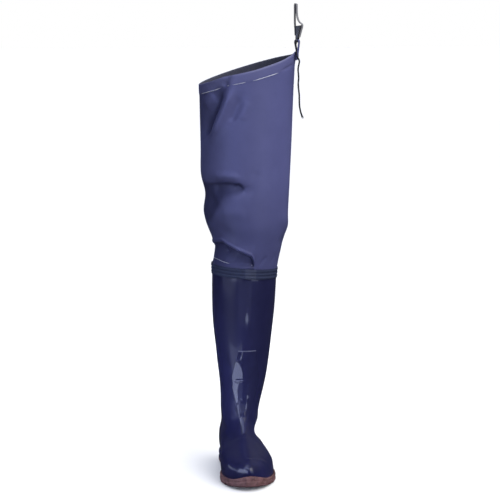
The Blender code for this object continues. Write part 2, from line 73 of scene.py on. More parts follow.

# %% [markdown]
# ## Working by hand, in code
# An operator acts on everything that is selected, so each step first picks its pieces. Small things are
# made one by one and joined. A finished piece is settled: it moves with the wader and stands for its
# solids.


# %% Helpers for picking, joining and settling pieces
def pick(*pieces):
    bpy.ops.object.select_all(action="DESELECT")
    for piece in pieces:
        piece.select_set(True)
    bpy.context.view_layer.objects.active = pieces[0]


@contextmanager
def editing(piece):
    """Edit mode on one piece, for as long as the with block runs."""
    pick(piece)
    bpy.ops.object.mode_set(mode="EDIT")
    yield
    bpy.ops.object.mode_set(mode="OBJECT")


def apply_modifiers(piece):
    pick(piece)
    for modifier in list(piece.modifiers):
        bpy.ops.object.modifier_apply(modifier=modifier.name)


def join_pieces(pieces, name):
    """Joins small pieces into one smooth piece that has its place in its mesh."""
    pick(*pieces)
    bpy.ops.object.join()
    joined = bpy.context.object
    joined.name = name
    bpy.ops.object.transform_apply(location=True, rotation=True, scale=True)
    bpy.ops.object.shade_smooth()
    return joined


def settle(piece, slot, *nodes):
    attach(piece, "root")
    if nodes:
        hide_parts(*nodes)
    piece.data.calc_loop_triangles()
    print(piece.name, "has", len(piece.data.loop_triangles), "triangles")


print(len(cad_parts), "solids wait to be dressed")

# %% [markdown]
# ## The loose cord
# A thin black cord is knotted at the hip buckle, and its end hangs down beside the thigh. Its route is a
# short list of points in the hip strap's own frame: across is outward from the hem, along is towards the
# back, up is up. A smooth curve runs through them, because straight runs would look like bent wire.

# %% Route of the cord
HIP_PLACE = Vector((0.113244, -0.036680, 0.844056))
HIP_TURN = -0.300983
hip_to_row = Matrix.Translation(HIP_PLACE) @ Matrix.Rotation(HIP_TURN, 4, "Z")

CordPoint = namedtuple("CordPoint", "across along up")
CORD_ROUTE = (
    CordPoint(1.6, -19.7, 13.0), CordPoint(2.9, -19.4, 3.5), CordPoint(4.3, -18.6, -10.0),
    CordPoint(8.7, -17.4, -18.5), CordPoint(6.4, -17.0, -34.0), CordPoint(7.5, -17.4, -51.5),
    CordPoint(6.9, -18.0, -65.0), CordPoint(8.9, -18.4, -85.0), CordPoint(9.5, -18.2, -105.0),
    CordPoint(11.5, -17.8, -117.5), CordPoint(14.4, -17.4, -126.5),
)
CORD_STATIONS = 36
route = np.array(CORD_ROUTE)
route_steps = np.linalg.norm(np.diff(route, axis=0), axis=1)
route_stations = np.concatenate(([0.0], np.cumsum(route_steps)))


def along_route(station):
    """Point of the cord's smooth line at a distance from its exit."""
    last = len(route) - 1
    index = int(np.clip(np.searchsorted(route_stations, station, side="right") - 1, 0, last - 1))
    span = route_stations[index + 1] - route_stations[index]
    share = (station - route_stations[index]) / span
    slopes = []
    for knot in (index, index + 1):
        before = max(knot - 1, 0)
        after = min(knot + 1, last)
        slope = (route[after] - route[before]) / (route_stations[after] - route_stations[before])
        slopes.append(slope * span)
    start = route[index] * (2.0 * share**3 - 3.0 * share**2 + 1.0)
    end = route[index + 1] * (3.0 * share**2 - 2.0 * share**3)
    bend = slopes[0] * (share**3 - 2.0 * share**2 + share) + slopes[1] * (share**3 - share**2)
    return start + end + bend


cord_line = [
    hip_to_row @ Vector(along_route(station) * MM)
    for station in np.linspace(0.0, route_stations[-1], CORD_STATIONS)
]
print("cord from", [round(v, 3) for v in cord_line[0]], "to", [round(v, 3) for v in cord_line[-1]])

# %% [markdown]
# A twisted cord is three strands, so its cross-section is a clover that turns as it goes along. It could
# be three thin tubes wound round each other. One clover swept along the curve gives the same look with a
# closed mesh.

# %% Clover of three strands
CORD_DIAMETER = 0.0034
CLOVER_DIP = 0.62
POINTS_A_STRAND = 4
DIP_POINT = 2

bpy.ops.curve.primitive_bezier_circle_add(radius=0.5 * CORD_DIAMETER)
clover = bpy.context.object
clover.data.splines[0].resolution_u = 3
with editing(clover):
    bpy.ops.curve.subdivide(number_cuts=2)
for index, point in enumerate(clover.data.splines[0].bezier_points):
    if index % POINTS_A_STRAND == DIP_POINT:
        inward = Vector(point.co) * CLOVER_DIP
        point.handle_left += inward - point.co
        point.handle_right += inward - point.co
        point.co = inward
print("clover has", len(clover.data.splines[0].bezier_points), "points")

# %% [markdown]
# The clover is swept by making it the curve's bevel object. The tilt of the curve's points turns it, one
# turn for each twist of the cord.

# %% Cord
CORD_TWIST_LENGTH = 0.011
MERGE_DISTANCE = 0.00001


def curve_through(places):
    """Adds a smooth curve through a line of places."""
    bpy.ops.curve.primitive_bezier_curve_add()
    line = bpy.context.object
    stations = line.data.splines[0].bezier_points
    stations.add(len(places) - len(stations))
    for point, place in zip(stations, places):
        point.co = place
        point.handle_left_type = "AUTO"
        point.handle_right_type = "AUTO"
    return line


def sweep_clover(places, name, closed=False):
    """Sweeps the clover along a line of places and makes it a mesh. An open line twists as it goes."""
    swept = curve_through(places)
    swept.name = name
    spline = swept.data.splines[0]
    spline.use_cyclic_u = closed
    spline.resolution_u = 6
    walked = 0.0
    for index, point in enumerate(spline.bezier_points):
        walked += (places[index] - places[max(index - 1, 0)]).length
        point.tilt = 0.0 if closed else 2.0 * math.pi * walked / CORD_TWIST_LENGTH
    swept.data.bevel_mode = "OBJECT"
    swept.data.bevel_object = clover
    swept.data.use_fill_caps = True
    bpy.ops.object.convert(target="MESH")
    with editing(swept):
        bpy.ops.mesh.select_all(action="SELECT")
        bpy.ops.mesh.remove_doubles(threshold=MERGE_DISTANCE)
        bpy.ops.mesh.normals_make_consistent(inside=False)
    bpy.ops.object.transform_apply(location=True, rotation=True, scale=True)
    bpy.ops.object.shade_smooth()
    return swept


cord = sweep_clover(cord_line, "twisted_cord")
settle(cord, "cord_cloth", "hip_cord")

# %% [markdown]
# ## The frayed end
# The cord was cut and never sealed, so its fibres spread at the end. Hair curves would do it for one
# render. Here each fibre is a thin curve that leans out, bends back down and thins to its tip. A golden
# turn from one to the next keeps them from lining up.

# %% Frayed end
FIBRES = 14
FIBRE_LENGTH = 0.008
FIBRE_RADIUS = 0.00042
LENGTH_SWAY = 0.3
FIBRE_SINK = 0.001
ROOT_SPREAD = 0.0022
LEAST_LEAN = 0.08
LEAN_GROWTH = 0.30
GOLDEN_TURN = 2.4
HANDLE_SHARE = 0.3
BOW_SHARE = 0.5
TIP_SHARE = 0.3


def thicken(line, radius, steps, roundness):
    """Gives the curve that was added last a round thickness and makes it a mesh."""
    line.data.splines[0].resolution_u = steps
    line.data.bevel_depth = radius
    line.data.bevel_resolution = roundness
    line.data.use_fill_caps = True
    bpy.ops.object.convert(target="MESH")
    return bpy.context.object


end_run = (cord_line[-1] - cord_line[-2]).normalized()
fibres = []
for index in range(FIBRES):
    turn = GOLDEN_TURN * index
    lean = Vector((math.cos(turn), math.sin(turn), 0.0)) * (LEAST_LEAN + LEAN_GROWTH * index / FIBRES)
    length = FIBRE_LENGTH * (1.0 - LENGTH_SWAY + LENGTH_SWAY * math.cos(3.0 * index))
    start = cord_line[-1] - end_run * FIBRE_SINK + lean * ROOT_SPREAD
    fibre = curve_through((start, start + (end_run + lean).normalized() * length))
    root, tip = fibre.data.splines[0].bezier_points
    for point in (root, tip):
        point.handle_left_type = "FREE"
        point.handle_right_type = "FREE"
        point.handle_left = point.co - end_run * HANDLE_SHARE * length
        point.handle_right = point.co + end_run * HANDLE_SHARE * length
    root.handle_right = root.co + (end_run + 2.0 * lean).normalized() * BOW_SHARE * length
    tip.radius = TIP_SHARE
    fibres.append(thicken(fibre, FIBRE_RADIUS, steps=5, roundness=1))
fray = join_pieces(fibres, "cord_fray")
settle(fray, "cord_cloth")

# %% [markdown]
# ## The knot
# The cord is tied with a plain overhand knot. Drawn as a closed loop, that is a trefoil, which has a
# short formula. The same clover is swept along it, so the knot shows the same strands.

# %% Knot
KNOT_CENTRE = Vector((1.4, -19.8, 16.8))
KNOT_LOOP = 0.95
KNOT_DEPTH = 1.35
KNOT_SLIM = 0.75
KNOT_STATIONS = 36
knot_line = []
for step in range(KNOT_STATIONS):
    turn = 2.0 * math.pi * step / KNOT_STATIONS
    reach = KNOT_LOOP * (2.0 + math.cos(3.0 * turn))
    depth = KNOT_DEPTH * math.sin(3.0 * turn)
    offset = Vector((depth, reach * math.sin(2.0 * turn), -reach * math.cos(2.0 * turn)))
    knot_line.append(hip_to_row @ ((KNOT_CENTRE + offset) * MM))
pick(clover)
bpy.ops.transform.resize(value=(KNOT_SLIM, KNOT_SLIM, KNOT_SLIM))
bpy.ops.object.transform_apply(location=False, rotation=False, scale=True)
knot = sweep_clover(knot_line, "knot_wraps", closed=True)
bpy.data.objects.remove(clover, do_unlink=True)
settle(knot, "knot_cloth", "cord_knot")

# %% [markdown]
# ## From solid to skin
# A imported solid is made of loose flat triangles. A copy of it is welded together, its triangles are
# paired back into four-sided faces, and its sharp rims are marked, so that subdivision rounds the faces
# and leaves the rims crisp.


# %% Copying a solid
def copy_node(node_name, piece_name):
    piece = bpy.data.objects.new(piece_name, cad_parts[node_name].data.copy())
    bpy.context.scene.collection.objects.link(piece)
    piece.data.materials.clear()
    pick(piece)
    bpy.ops.mesh.customdata_custom_splitnormals_clear()
    with editing(piece):
        bpy.ops.mesh.select_all(action="SELECT")
        bpy.ops.mesh.remove_doubles(threshold=2.0 * MERGE_DISTANCE)
        bpy.ops.mesh.tris_convert_to_quads(
            face_threshold=math.pi, shape_threshold=math.pi, topology_influence=1.5
        )
    bpy.ops.object.shade_smooth()
    return piece


def smooth_copy(node_name, piece_name, rim_angle, crease, levels):
    """Copies a solid, creases the rims that are sharper than an angle and subdivides it."""
    piece = copy_node(node_name, piece_name)
    with editing(piece):
        bpy.ops.mesh.select_mode(type="EDGE")
        bpy.ops.mesh.select_all(action="DESELECT")
        bpy.ops.mesh.edges_select_sharp(sharpness=math.radians(rim_angle))
        bpy.ops.transform.edge_crease(value=crease)
    smooth_skin = piece.modifiers.new("smooth skin", "SUBSURF")
    smooth_skin.levels = levels
    smooth_skin.render_levels = levels
    apply_modifiers(piece)
    return piece


leg = smooth_copy("thigh_leg", "leg_tube", rim_angle=60.0, crease=0.6, levels=2)
print("leg has", len(leg.data.polygons), "faces")

# %% [markdown]
# Folds, dents and ribs are all made the same way: the points of a skin are read, moved a little and
# written back. Soft steps and windows say where a move starts and fades, and short tables are read
# between their rows.


# %% Helpers for moving points
def read_points(piece):
    flat = np.empty(len(piece.data.vertices) * 3)
    piece.data.vertices.foreach_get("co", flat)
    return flat.reshape(-1, 3)


def write_points(piece, points):
    piece.data.vertices.foreach_set("co", points.ravel())
    piece.data.update()


def read_normals(piece):
    flat = np.empty(len(piece.data.vertices) * 3, dtype=np.float32)
    piece.data.vertex_normals.foreach_get("vector", flat)
    return flat.reshape(-1, 3).astype(float)


def write_mask(piece, name, values):
    mask = piece.data.attributes.new(name, "FLOAT", "POINT")
    mask.data.foreach_set("value", np.ascontiguousarray(values, dtype=np.float32))


def soft_step(share):
    share = np.clip(share, 0.0, 1.0)
    return share * share * (3.0 - 2.0 * share)


Span = namedtuple("Span", "start end rise fall")


def window(value, span):
    """One between the start and the end of a span, with soft flanks inside them."""
    return soft_step((value - span.start) / span.rise) * soft_step((span.end - value) / span.fall)


def read_table(rows, station, column, at):
    return np.interp(at, [getattr(row, station) for row in rows], [getattr(row, column) for row in rows])


print("a soft step at a quarter is", soft_step(0.25))

# %% [markdown]
# ## The thigh leg
# The leg is a tube of coated cloth. It hangs from the hip, bunches at the groin and sags over itself
# above the knee. A cloth simulation would fold it somewhere else each time it is tuned, so the folds are
# placed one by one. Each row below is one soft trough or ridge, given by where it runs on the unrolled tube:
# degrees from the front and height.

# %% Folds of the thigh leg
Fold = namedtuple("Fold", "name angle_a height_a angle_b height_b bow depth above below")
LEG_FOLDS = (
    Fold("groin trough", -76.0, 670.0, -36.0, 772.0, -5.0, -9.5, 15.0, 9.0),
    Fold("groin ridge", -56.0, 676.0, -26.0, 768.0, -5.0, 4.5, 7.0, 8.0),
    Fold("groin pillow", -72.0, 735.0, -50.0, 752.0, 0.0, 3.0, 12.0, 12.0),
    Fold("hem pinch", -35.0, 766.0, -27.0, 806.0, 0.0, -3.4, 6.0, 5.0),
    Fold("hem crease", 33.0, 804.0, 63.0, 818.0, 0.0, -1.8, 3.0, 3.0),
    Fold("faint trough", -29.0, 706.0, -15.0, 756.0, -2.0, -2.6, 9.0, 7.0),
    Fold("faint ridge", -17.0, 712.0, -8.0, 750.0, -2.0, 1.6, 8.0, 8.0),
    Fold("arc trough", -62.0, 581.0, -12.0, 580.0, 6.0, -6.0, 3.2, 16.0),
    Fold("arc brow", -56.0, 597.0, -14.0, 596.0, 5.0, 2.6, 8.0, 8.0),
    Fold("arc end", -23.0, 588.0, -12.0, 573.0, 2.0, -4.0, 3.0, 8.0),
    Fold("arc tail", -6.0, 560.0, 6.0, 618.0, 0.0, -1.4, 8.0, 8.0),
    Fold("low pillow", -46.0, 522.0, -8.0, 526.0, 5.0, 1.8, 14.0, 14.0),
    Fold("inner hollow", -90.0, 506.0, -50.0, 560.0, 0.0, -4.5, 16.0, 16.0),
    Fold("knee slant", -60.0, 500.0, -30.0, 486.0, 3.0, -1.0, 10.0, 12.0),
    Fold("outer sag", 40.0, 512.0, 86.0, 488.0, 4.0, 2.0, 16.0, 12.0),
    Fold("outer tuck", 46.0, 470.0, 84.0, 462.0, 3.0, -2.6, 12.0, 12.0),
    Fold("tape gather", 14.0, 424.0, 26.0, 440.0, 0.0, -1.2, 5.0, 5.0),
    Fold("outer gather", 38.0, 424.0, 46.0, 446.0, 0.0, -1.4, 5.0, 6.0),
    Fold("back roll", 150.0, 520.0, 208.0, 516.0, 6.0, -4.0, 8.0, 12.0),
    Fold("back brow", 152.0, 538.0, 206.0, 534.0, 6.0, 2.4, 10.0, 9.0),
    Fold("seat slant", 128.0, 742.0, 165.0, 700.0, 4.0, -3.2, 12.0, 10.0),
    Fold("seat ridge", 134.0, 758.0, 172.0, 716.0, 4.0, 2.0, 12.0, 10.0),
)
print(len(LEG_FOLDS), "folds on the leg")

# %% [markdown]
# A fold pushes the skin most along its line. The push fades to both sides, over another width above than
# below, and past its ends. A bow bends the line sideways.

# %% Push of the folds
LEG_RADIUS = 85.0
FOLD_ENDS = Span(0.0, 1.0, 0.25, 0.25)
END_SHARE = 0.25


def fold_push(rows, angle, height):
    """How far the rows push a skin outward, in millimetres."""
    push = np.zeros_like(angle)
    for row in rows:
        turn = (angle - row.angle_a + 180.0) % 360.0 - 180.0
        round_way = np.radians(turn) * LEG_RADIUS
        up_way = height - row.height_a
        run_round = math.radians(row.angle_b - row.angle_a) * LEG_RADIUS
        run_up = row.height_b - row.height_a
        length = math.hypot(run_round, run_up)
        along = (round_way * run_round + up_way * run_up) / length
        share = np.clip(along / length, 0.0, 1.0)
        bowed = 4.0 * row.bow * share * (1.0 - share)
        side = (up_way * run_round - round_way * run_up) / length - bowed
        width = np.where(side > 0.0, row.above, row.below)
        past = np.maximum(0.0, np.maximum(-along, along - length))
        ends = window(share, FOLD_ENDS)
        reach = 0.5 * (row.above + row.below)
        fade = (END_SHARE + (1.0 - END_SHARE) * ends) * np.exp(-((past / reach) ** 2))
        push += row.depth * fade * np.exp(-((side / width) ** 2))
    return push


arc_push = fold_push(LEG_FOLDS, np.array([-35.0]), np.array([585.0]))[0]
print("push in the arc trough", round(arc_push, 1), "mm")

# %% [markdown]
# Above the knee tape the cloth hangs over itself in one large tuck. Its lip runs level along the inner
# side and then falls towards the front. Under the lip the cloth lies deeper, and at the tape it is caught
# again.

# %% The tuck above the knee
SkinPoint = namedtuple("SkinPoint", "name angle height")
TUCK_LIP = (
    SkinPoint("inner end", -125.0, 452.0),
    SkinPoint("inner side", -80.0, 465.0),
    SkinPoint("inner corner", -48.0, 469.0),
    SkinPoint("middle", -25.0, 454.5),
    SkinPoint("front", -1.0, 441.0),
    SkinPoint("turn", 3.5, 431.0),
    SkinPoint("tape", 6.0, 395.0),
)
TUCK_DEPTH = 9.0
TUCK_EDGE = 3.2
TUCK_FADE = 45.0
TUCK_ROUND = Span(-125.0, 8.5, 40.0, 4.0)
LIP_SWELL = 2.4
LIP_WIDTH = 4.0
TAPE_TOP = 414.5
TUCK_HOLD = 2.0
TUCK_EASE = 10.0


def tuck_push(angle, height):
    under = read_table(TUCK_LIP, "angle", "height", angle) - height
    caught = soft_step((height - TAPE_TOP - TUCK_HOLD) / TUCK_EASE)
    sink = -TUCK_DEPTH * soft_step(under / TUCK_EDGE) * np.exp(-np.maximum(under, 0.0) / TUCK_FADE)
    swell = LIP_SWELL * np.exp(-(((under + TUCK_EDGE) / LIP_WIDTH) ** 2))
    return (sink + swell) * caught * window(angle, TUCK_ROUND)


print("tuck lip from", TUCK_LIP[2].height, "to", TUCK_LIP[4].height, "mm")

# %% [markdown]
# The hem is pulled up at the front by the strap. A short table says how far, and the lift fades out below
# the hem.

# %% Lift of the hem
HemLift = namedtuple("HemLift", "name angle lift")
HEM_LIFT = (
    HemLift("inner side", -95.0, 0.0),
    HemLift("inner corner", -53.0, 4.7),
    HemLift("pinch", -36.0, 7.8),
    HemLift("front left", -19.0, 5.7),
    HemLift("front", 0.0, 3.2),
    HemLift("front right", 30.0, 3.1),
    HemLift("outer front", 46.0, 3.8),
    HemLift("strap", 70.0, 0.0),
)
HEM_LEVEL = 787.0
HEM_TILT = 28.5
HEM_PEAK = 7.0
HEM_PEAK_ANGLE = 72.0
HEM_PEAK_SPREAD = 17.0
HEM_FADE = 70.0


def hem_lift(angle):
    return read_table(HEM_LIFT, "angle", "lift", angle)


def hem_rest(angle):
    """Height of the hem's lower edge round the leg before it is lifted."""
    peak = HEM_PEAK * np.exp(-(((angle - HEM_PEAK_ANGLE) / HEM_PEAK_SPREAD) ** 2))
    return HEM_LEVEL + HEM_TILT * np.sin(np.radians(angle)) + peak


def hem_line(angle):
    return hem_rest(angle) + hem_lift(angle)


print("hem line at the front", round(float(hem_line(0.0)), 1), "mm")

# %% [markdown]
# Sharp folds need small faces, and a plain back doesn't. So only the faces inside a few windows of the
# unrolled tube are cut finer: the folded front, the tuck in it, and the turn where the tuck's lip falls
# to the tape.

# %% Finer faces where the leg folds
LEG_AXIS = (0.019, -0.004)
FineWindow = namedtuple("FineWindow", "name low_angle high_angle low_height high_height")
FINE_WINDOWS = (
    FineWindow("folded front", -104.0, 30.0, 416.0, 780.0),
    FineWindow("tuck", -96.0, 12.0, 418.0, 484.0),
    FineWindow("turn of the lip", -9.0, 11.0, 417.0, 450.0),
)


def refine(piece, row):
    """Cuts the faces of the tube finer within a window, on both sides of its wall."""
    with editing(piece):
        bpy.ops.mesh.select_mode(type="FACE")
        bpy.ops.mesh.select_all(action="DESELECT")
    for polygon in piece.data.polygons:
        x = polygon.center.x - LEG_AXIS[0]
        y = polygon.center.y - LEG_AXIS[1]
        in_angle = row.low_angle < math.degrees(math.atan2(x, -y)) < row.high_angle
        in_height = row.low_height < polygon.center.z / MM < row.high_height
        polygon.select = in_angle and in_height
    with editing(piece):
        bpy.ops.mesh.subdivide(number_cuts=1, smoothness=0.0)


for fine_window in FINE_WINDOWS:
    refine(leg, fine_window)
print(len(leg.data.vertices), "points on the leg")

# %% [markdown]
# Now the leg takes its shape. Every point is unrolled to an angle and a height, the folds and the tuck
# push it out or in, and the hem's lift raises it. Which side of the wall a point is on is noted before,
# while that is still plain.


# %% Shaping the thigh leg
def unroll(points):
    angle = np.degrees(np.arctan2(points[:, 0] - LEG_AXIS[0], LEG_AXIS[1] - points[:, 1]))
    return angle, points[:, 2] / MM


def way_out(angle):
    return np.column_stack((np.sin(np.radians(angle)), -np.cos(np.radians(angle)), np.zeros(len(angle))))


FOLD_HOLD = 1.0
FOLD_EASE = 8.0
points = read_points(leg)
angle, height = unroll(points)
leg_facing = (read_normals(leg) * way_out(angle)).sum(axis=1)
clear_of_tape = soft_step((height - TAPE_TOP - FOLD_HOLD) / FOLD_EASE)
push = fold_push(LEG_FOLDS, angle, height) * clear_of_tape + tuck_push(angle, height)
lift = hem_lift(angle) * soft_step((height - hem_rest(angle) + HEM_FADE) / HEM_FADE)
points += way_out(angle) * push[:, None] * MM
points[:, 2] += lift * MM
write_points(leg, points)
print("deepest fold", round(push.min(), 1), "mm, highest", round(push.max(), 1), "mm")

# %% [markdown]
# Painted shade darkens the troughs, the cloth under the tuck and the arc, the lower leg and the groin. The
# same shapes that made the folds paint these masks on the points, so the finish can follow the folds later.
# The hem band is painted paler, and its top rim gets a painted highlight.

# %% Masks of the thigh leg
DEEP_FOLD = 9.0
FOLD_GATHER = 1.6
TUCK_SHADE = 0.9
TUCK_SHADE_ROUND = Span(-120.0, 9.0, 40.0, 5.0)
LIP_FADE = 4.0
LOW_SHADE = 0.40
LOW_TOP = 620.0
LOW_FADE = 140.0
GROIN_SHADE = 0.45
GROIN_ROUND = Span(-125.0, -48.0, 40.0, 22.0)
GROIN_UP = Span(655.0, 775.0, 60.0, 20.0)
ARC_SHADE = 0.85
ARC_ROUND = Span(-130.0, -7.0, 30.0, 16.0)
ARC_TOP = 590.0
ARC_FADE = 8.0
ARC_FOOT_FADE = 34.0
DEEPEST = 0.9
HEM_BAND = 17.0
HEM_SOFT = 2.0
RIM_SOFT = 2.5
ARC_FOOT = (
    SkinPoint("inner side", -90.0, 484.0),
    SkinPoint("inner front", -62.0, 502.0),
    SkinPoint("under arc", -40.0, 540.0),
    SkinPoint("arc end", -10.0, 556.0),
)
under_lip = read_table(TUCK_LIP, "angle", "height", angle) - height
in_folds = np.clip(-push / DEEP_FOLD, 0.0, 1.0) ** FOLD_GATHER
in_tuck = TUCK_SHADE * soft_step(under_lip / LIP_FADE) * window(angle, TUCK_SHADE_ROUND)
low_down = LOW_SHADE * soft_step((LOW_TOP - height) / LOW_FADE)
at_groin = GROIN_SHADE * window(angle, GROIN_ROUND) * window(height, GROIN_UP)
above_foot = height - read_table(ARC_FOOT, "angle", "height", angle)
under_arc = ARC_SHADE * soft_step((ARC_TOP - height) / ARC_FADE) * window(angle, ARC_ROUND)
under_arc *= soft_step(above_foot / ARC_FOOT_FADE)
above_hem = points[:, 2] / MM - hem_line(angle)
shade = in_folds + in_tuck + low_down + at_groin + under_arc
# Painted shade: the trough mask darkens the folds, the tuck, the arc, the lower leg and the groin.
write_mask(leg, "trough", np.clip(shade, 0.0, DEEPEST))
write_mask(leg, "hem", soft_step(above_hem / HEM_SOFT + 0.5))
# Painted highlight along the hem's top rim.
write_mask(leg, "rim", soft_step((above_hem - HEM_BAND) / RIM_SOFT))
settle(leg, "leg_cloth", "thigh_leg")

# %% [markdown]
# ## The weld under the hem
# The hem is folded over and welded, and its lower edge catches the light as a thin line, broken in places.
# Two more such glints show above the knee tape. A painted line would blur, so each stretch is a bead, and
# the bead's pale colour is a painted highlight.

# %% Stretches of the weld
TAPE_EDGE = (
    SkinPoint("inner side", -70.0, 430.0),
    SkinPoint("inner front", -37.0, 424.5),
    SkinPoint("front", 0.0, 423.0),
)


def tape_line(angle):
    return read_table(TAPE_EDGE, "angle", "height", angle)


WeldStretch = namedtuple("WeldStretch", "name line start end thickness")
WELD_STRETCHES = (
    WeldStretch("inner front", hem_line, -80.0, -41.0, 0.95),
    WeldStretch("pinch", hem_line, -32.5, -29.0, 0.75),
    WeldStretch("middle front", hem_line, -25.0, -9.5, 0.6),
    WeldStretch("outer front", hem_line, -2.0, 29.0, 0.85),
    WeldStretch("outer back", hem_line, 104.0, 139.0, 0.6),
    WeldStretch("back", hem_line, 148.0, 197.0, 0.65),
    WeldStretch("inner back", hem_line, 205.0, 262.0, 0.6),
    WeldStretch("over tape", tape_line, -104.0, -39.0, 0.6),
    WeldStretch("over lap", tape_line, -1.0, 3.0, 0.5),
)
print(len(WELD_STRETCHES), "stretches of weld")

# %% [markdown]
# A ray shot inward at an angle and a height finds the cloth's surface there. A curve through such points,
# with a round bevel that thins towards both ends, lies on the cloth as the real bead does.

# %% Weld bead
BEAD_SINK = 0.4
BEAD_RISE = 0.2
BEAD_TIP = 0.15
BEAD_TAPER = 6.0
BEAD_SWAY = 0.15
DEGREES_PER_POINT = 3.0
RAY_REACH = 0.2


def on_skin(piece, axis, angle, height):
    """Point on the outside of a tube at an angle from the front and a height, and the way out there."""
    way = Vector((math.sin(math.radians(angle)), -math.cos(math.radians(angle)), 0.0))
    start = Vector((*axis, height * MM)) + way * RAY_REACH
    return piece.ray_cast(start, -way)[1], way


def add_bead(stretch):
    count = max(4, round((stretch.end - stretch.start) / DEGREES_PER_POINT))
    shares = [index / (count - 1) for index in range(count)]
    places = []
    for share in shares:
        turn = (stretch.start + share * (stretch.end - stretch.start) + 180.0) % 360.0 - 180.0
        place, way = on_skin(leg, LEG_AXIS, turn, float(stretch.line(turn)) - BEAD_SINK)
        places.append(place + way * BEAD_RISE * MM)
    bead = curve_through(places)
    for index, point in enumerate(bead.data.splines[0].bezier_points):
        thinned = min(1.0, BEAD_TIP + BEAD_TAPER * shares[index] * (1.0 - shares[index]))
        point.radius = thinned * (1.0 - BEAD_SWAY + BEAD_SWAY * math.sin(9.0 * index))
    return thicken(bead, stretch.thickness * MM, steps=4, roundness=2)


bpy.context.view_layer.update()
weld = join_pieces([add_bead(stretch) for stretch in WELD_STRETCHES], "hem_weld")
settle(weld, "leg_cloth")

# %% [markdown]
# ## The boot
# The boot is moulded in one piece, foot and shaft, and dipped to a deep gloss. Its skin is smooth, with
# shallow dents where it was bent at the instep and the ankle. A dent is a short stroke on the skin: two
# ends, a depth and a reach. Sculpting would do it too, but a table can be read and changed.

# %% Dents of the boot
Dent = namedtuple("Dent", "name ax ay az bx by bz depth reach")
BOOT_DENTS = (
    Dent("outer ankle hollow", 44.0, -26.0, 63.0, 42.0, 28.0, 70.0, -10.0, 17.0),
    Dent("outer notch", 36.0, -30.0, 84.0, 37.0, -58.0, 80.0, -5.0, 11.0),
    Dent("outer shoulder swell", 43.0, -68.0, 70.0, 60.0, -108.0, 44.0, 5.5, 15.0),
    Dent("inner waist swell", -42.0, -96.0, 46.0, -38.0, -30.0, 52.0, 3.0, 24.0),
    Dent("toe cap ridge", -40.0, -158.0, 42.0, -4.0, -186.0, 56.0, 1.3, 3.6),
    Dent("toe cap ridge outer", -4.0, -186.0, 56.0, 36.0, -164.0, 46.0, 1.2, 3.6),
    Dent("instep crease", -24.0, -92.0, 82.0, 22.0, -94.0, 84.0, -1.2, 8.0),
    Dent("bend crease", -30.0, -58.0, 112.0, 24.0, -66.0, 106.0, -1.3, 9.0),
    Dent("heel crease", -14.0, 66.0, 96.0, 26.0, 64.0, 102.0, -1.4, 9.0),
    Dent("calf dent", 40.0, 52.0, 260.0, 50.0, 46.0, 300.0, -2.0, 26.0),
    Dent("inner shaft dent", -44.0, -20.0, 330.0, -46.0, 10.0, 250.0, -1.6, 26.0),
    Dent("front shaft fold", 12.0, -66.0, 323.0, 10.5, -64.0, 311.0, -0.5, 2.2),
)


def dent_push(rows, points):
    """How far the strokes push a skin along its normal, in millimetres."""
    push = np.zeros(len(points))
    for row in rows:
        start = np.array((row.ax, row.ay, row.az))
        run = np.array((row.bx, row.by, row.bz)) - start
        share = np.clip((points - start) @ run / (run @ run), 0.0, 1.0)
        away = np.linalg.norm(points - start - share[:, None] * run, axis=1) / row.reach
        push += row.depth * np.exp(-(away**2))
    return push


print(len(BOOT_DENTS), "dents on the boot")

# %% [markdown]
# The wall of the boot has two sides. A line through the middle of foot and shaft tells them apart: a
# point's normal leads away from that line on the outside and towards it on the inside. Both sides move
# together, so the wall keeps its thickness.

# %% Boot
BOOT_LINE = np.array(((0.0, -150.0, 38.0), (3.0, -10.0, 55.0), (14.0, 0.0, 130.0), (15.5, -1.0, 404.0)))


def away_from_line(points, line):
    """Way from the nearest point of a bent line to each point."""
    best = np.full(len(points), np.inf)
    way = np.zeros_like(points)
    for start, end in zip(line, line[1:]):
        run = end - start
        share = np.clip((points - start) @ run / (run @ run), 0.0, 1.0)
        offset = points - start - share[:, None] * run
        distance = np.linalg.norm(offset, axis=1)
        nearer = distance < best
        best = np.where(nearer, distance, best)
        way[nearer] = offset[nearer]
    return way / best[:, None]


boot = smooth_copy("boot_upper", "boot", rim_angle=60.0, crease=0.7, levels=2)
points = read_points(boot)
normals = read_normals(boot)
boot_facing = np.sign((normals * away_from_line(points / MM, BOOT_LINE)).sum(axis=1))
push = dent_push(BOOT_DENTS, points / MM)
write_points(boot, points + normals * (boot_facing * push)[:, None] * MM)
settle(boot, "boot_rubber", "boot_upper")

# %% [markdown]
# The dip ran down, so the gloss is thickest on the foot. Beside the shin panel it was rubbed dull, and
# the shaft above kept some of it. A second mask marks the foot, where the colour gets painted shade.

# %% Masks of the boot
GlossLevel = namedtuple("GlossLevel", "name height share")
BOOT_GLOSS = (
    GlossLevel("foot", 80.0, 1.0),
    GlossLevel("ankle", 125.0, 0.35),
    GlossLevel("panel top", 245.0, 0.35),
    GlossLevel("shaft", 285.0, 0.7),
)
FOOT_TOP = 125.0
FOOT_FADE = 50.0
boot_height = points[:, 2] / MM
write_mask(boot, "gloss", read_table(BOOT_GLOSS, "height", "share", boot_height))
# Painted shade: the foot mask darkens the foot's colour.
write_mask(boot, "foot", soft_step((FOOT_TOP - boot_height) / FOOT_FADE))
print("gloss share at the ankle", BOOT_GLOSS[1].share)

# %% [markdown]
# ## The shin panel
# A kite of glossy sheet is welded on the shin. Being thin, it never lies quite flat: a soft ridge wanders
# down its middle, and a pinch runs in from its inner edge. They show in its reflections. The ridge is a
# table of places.

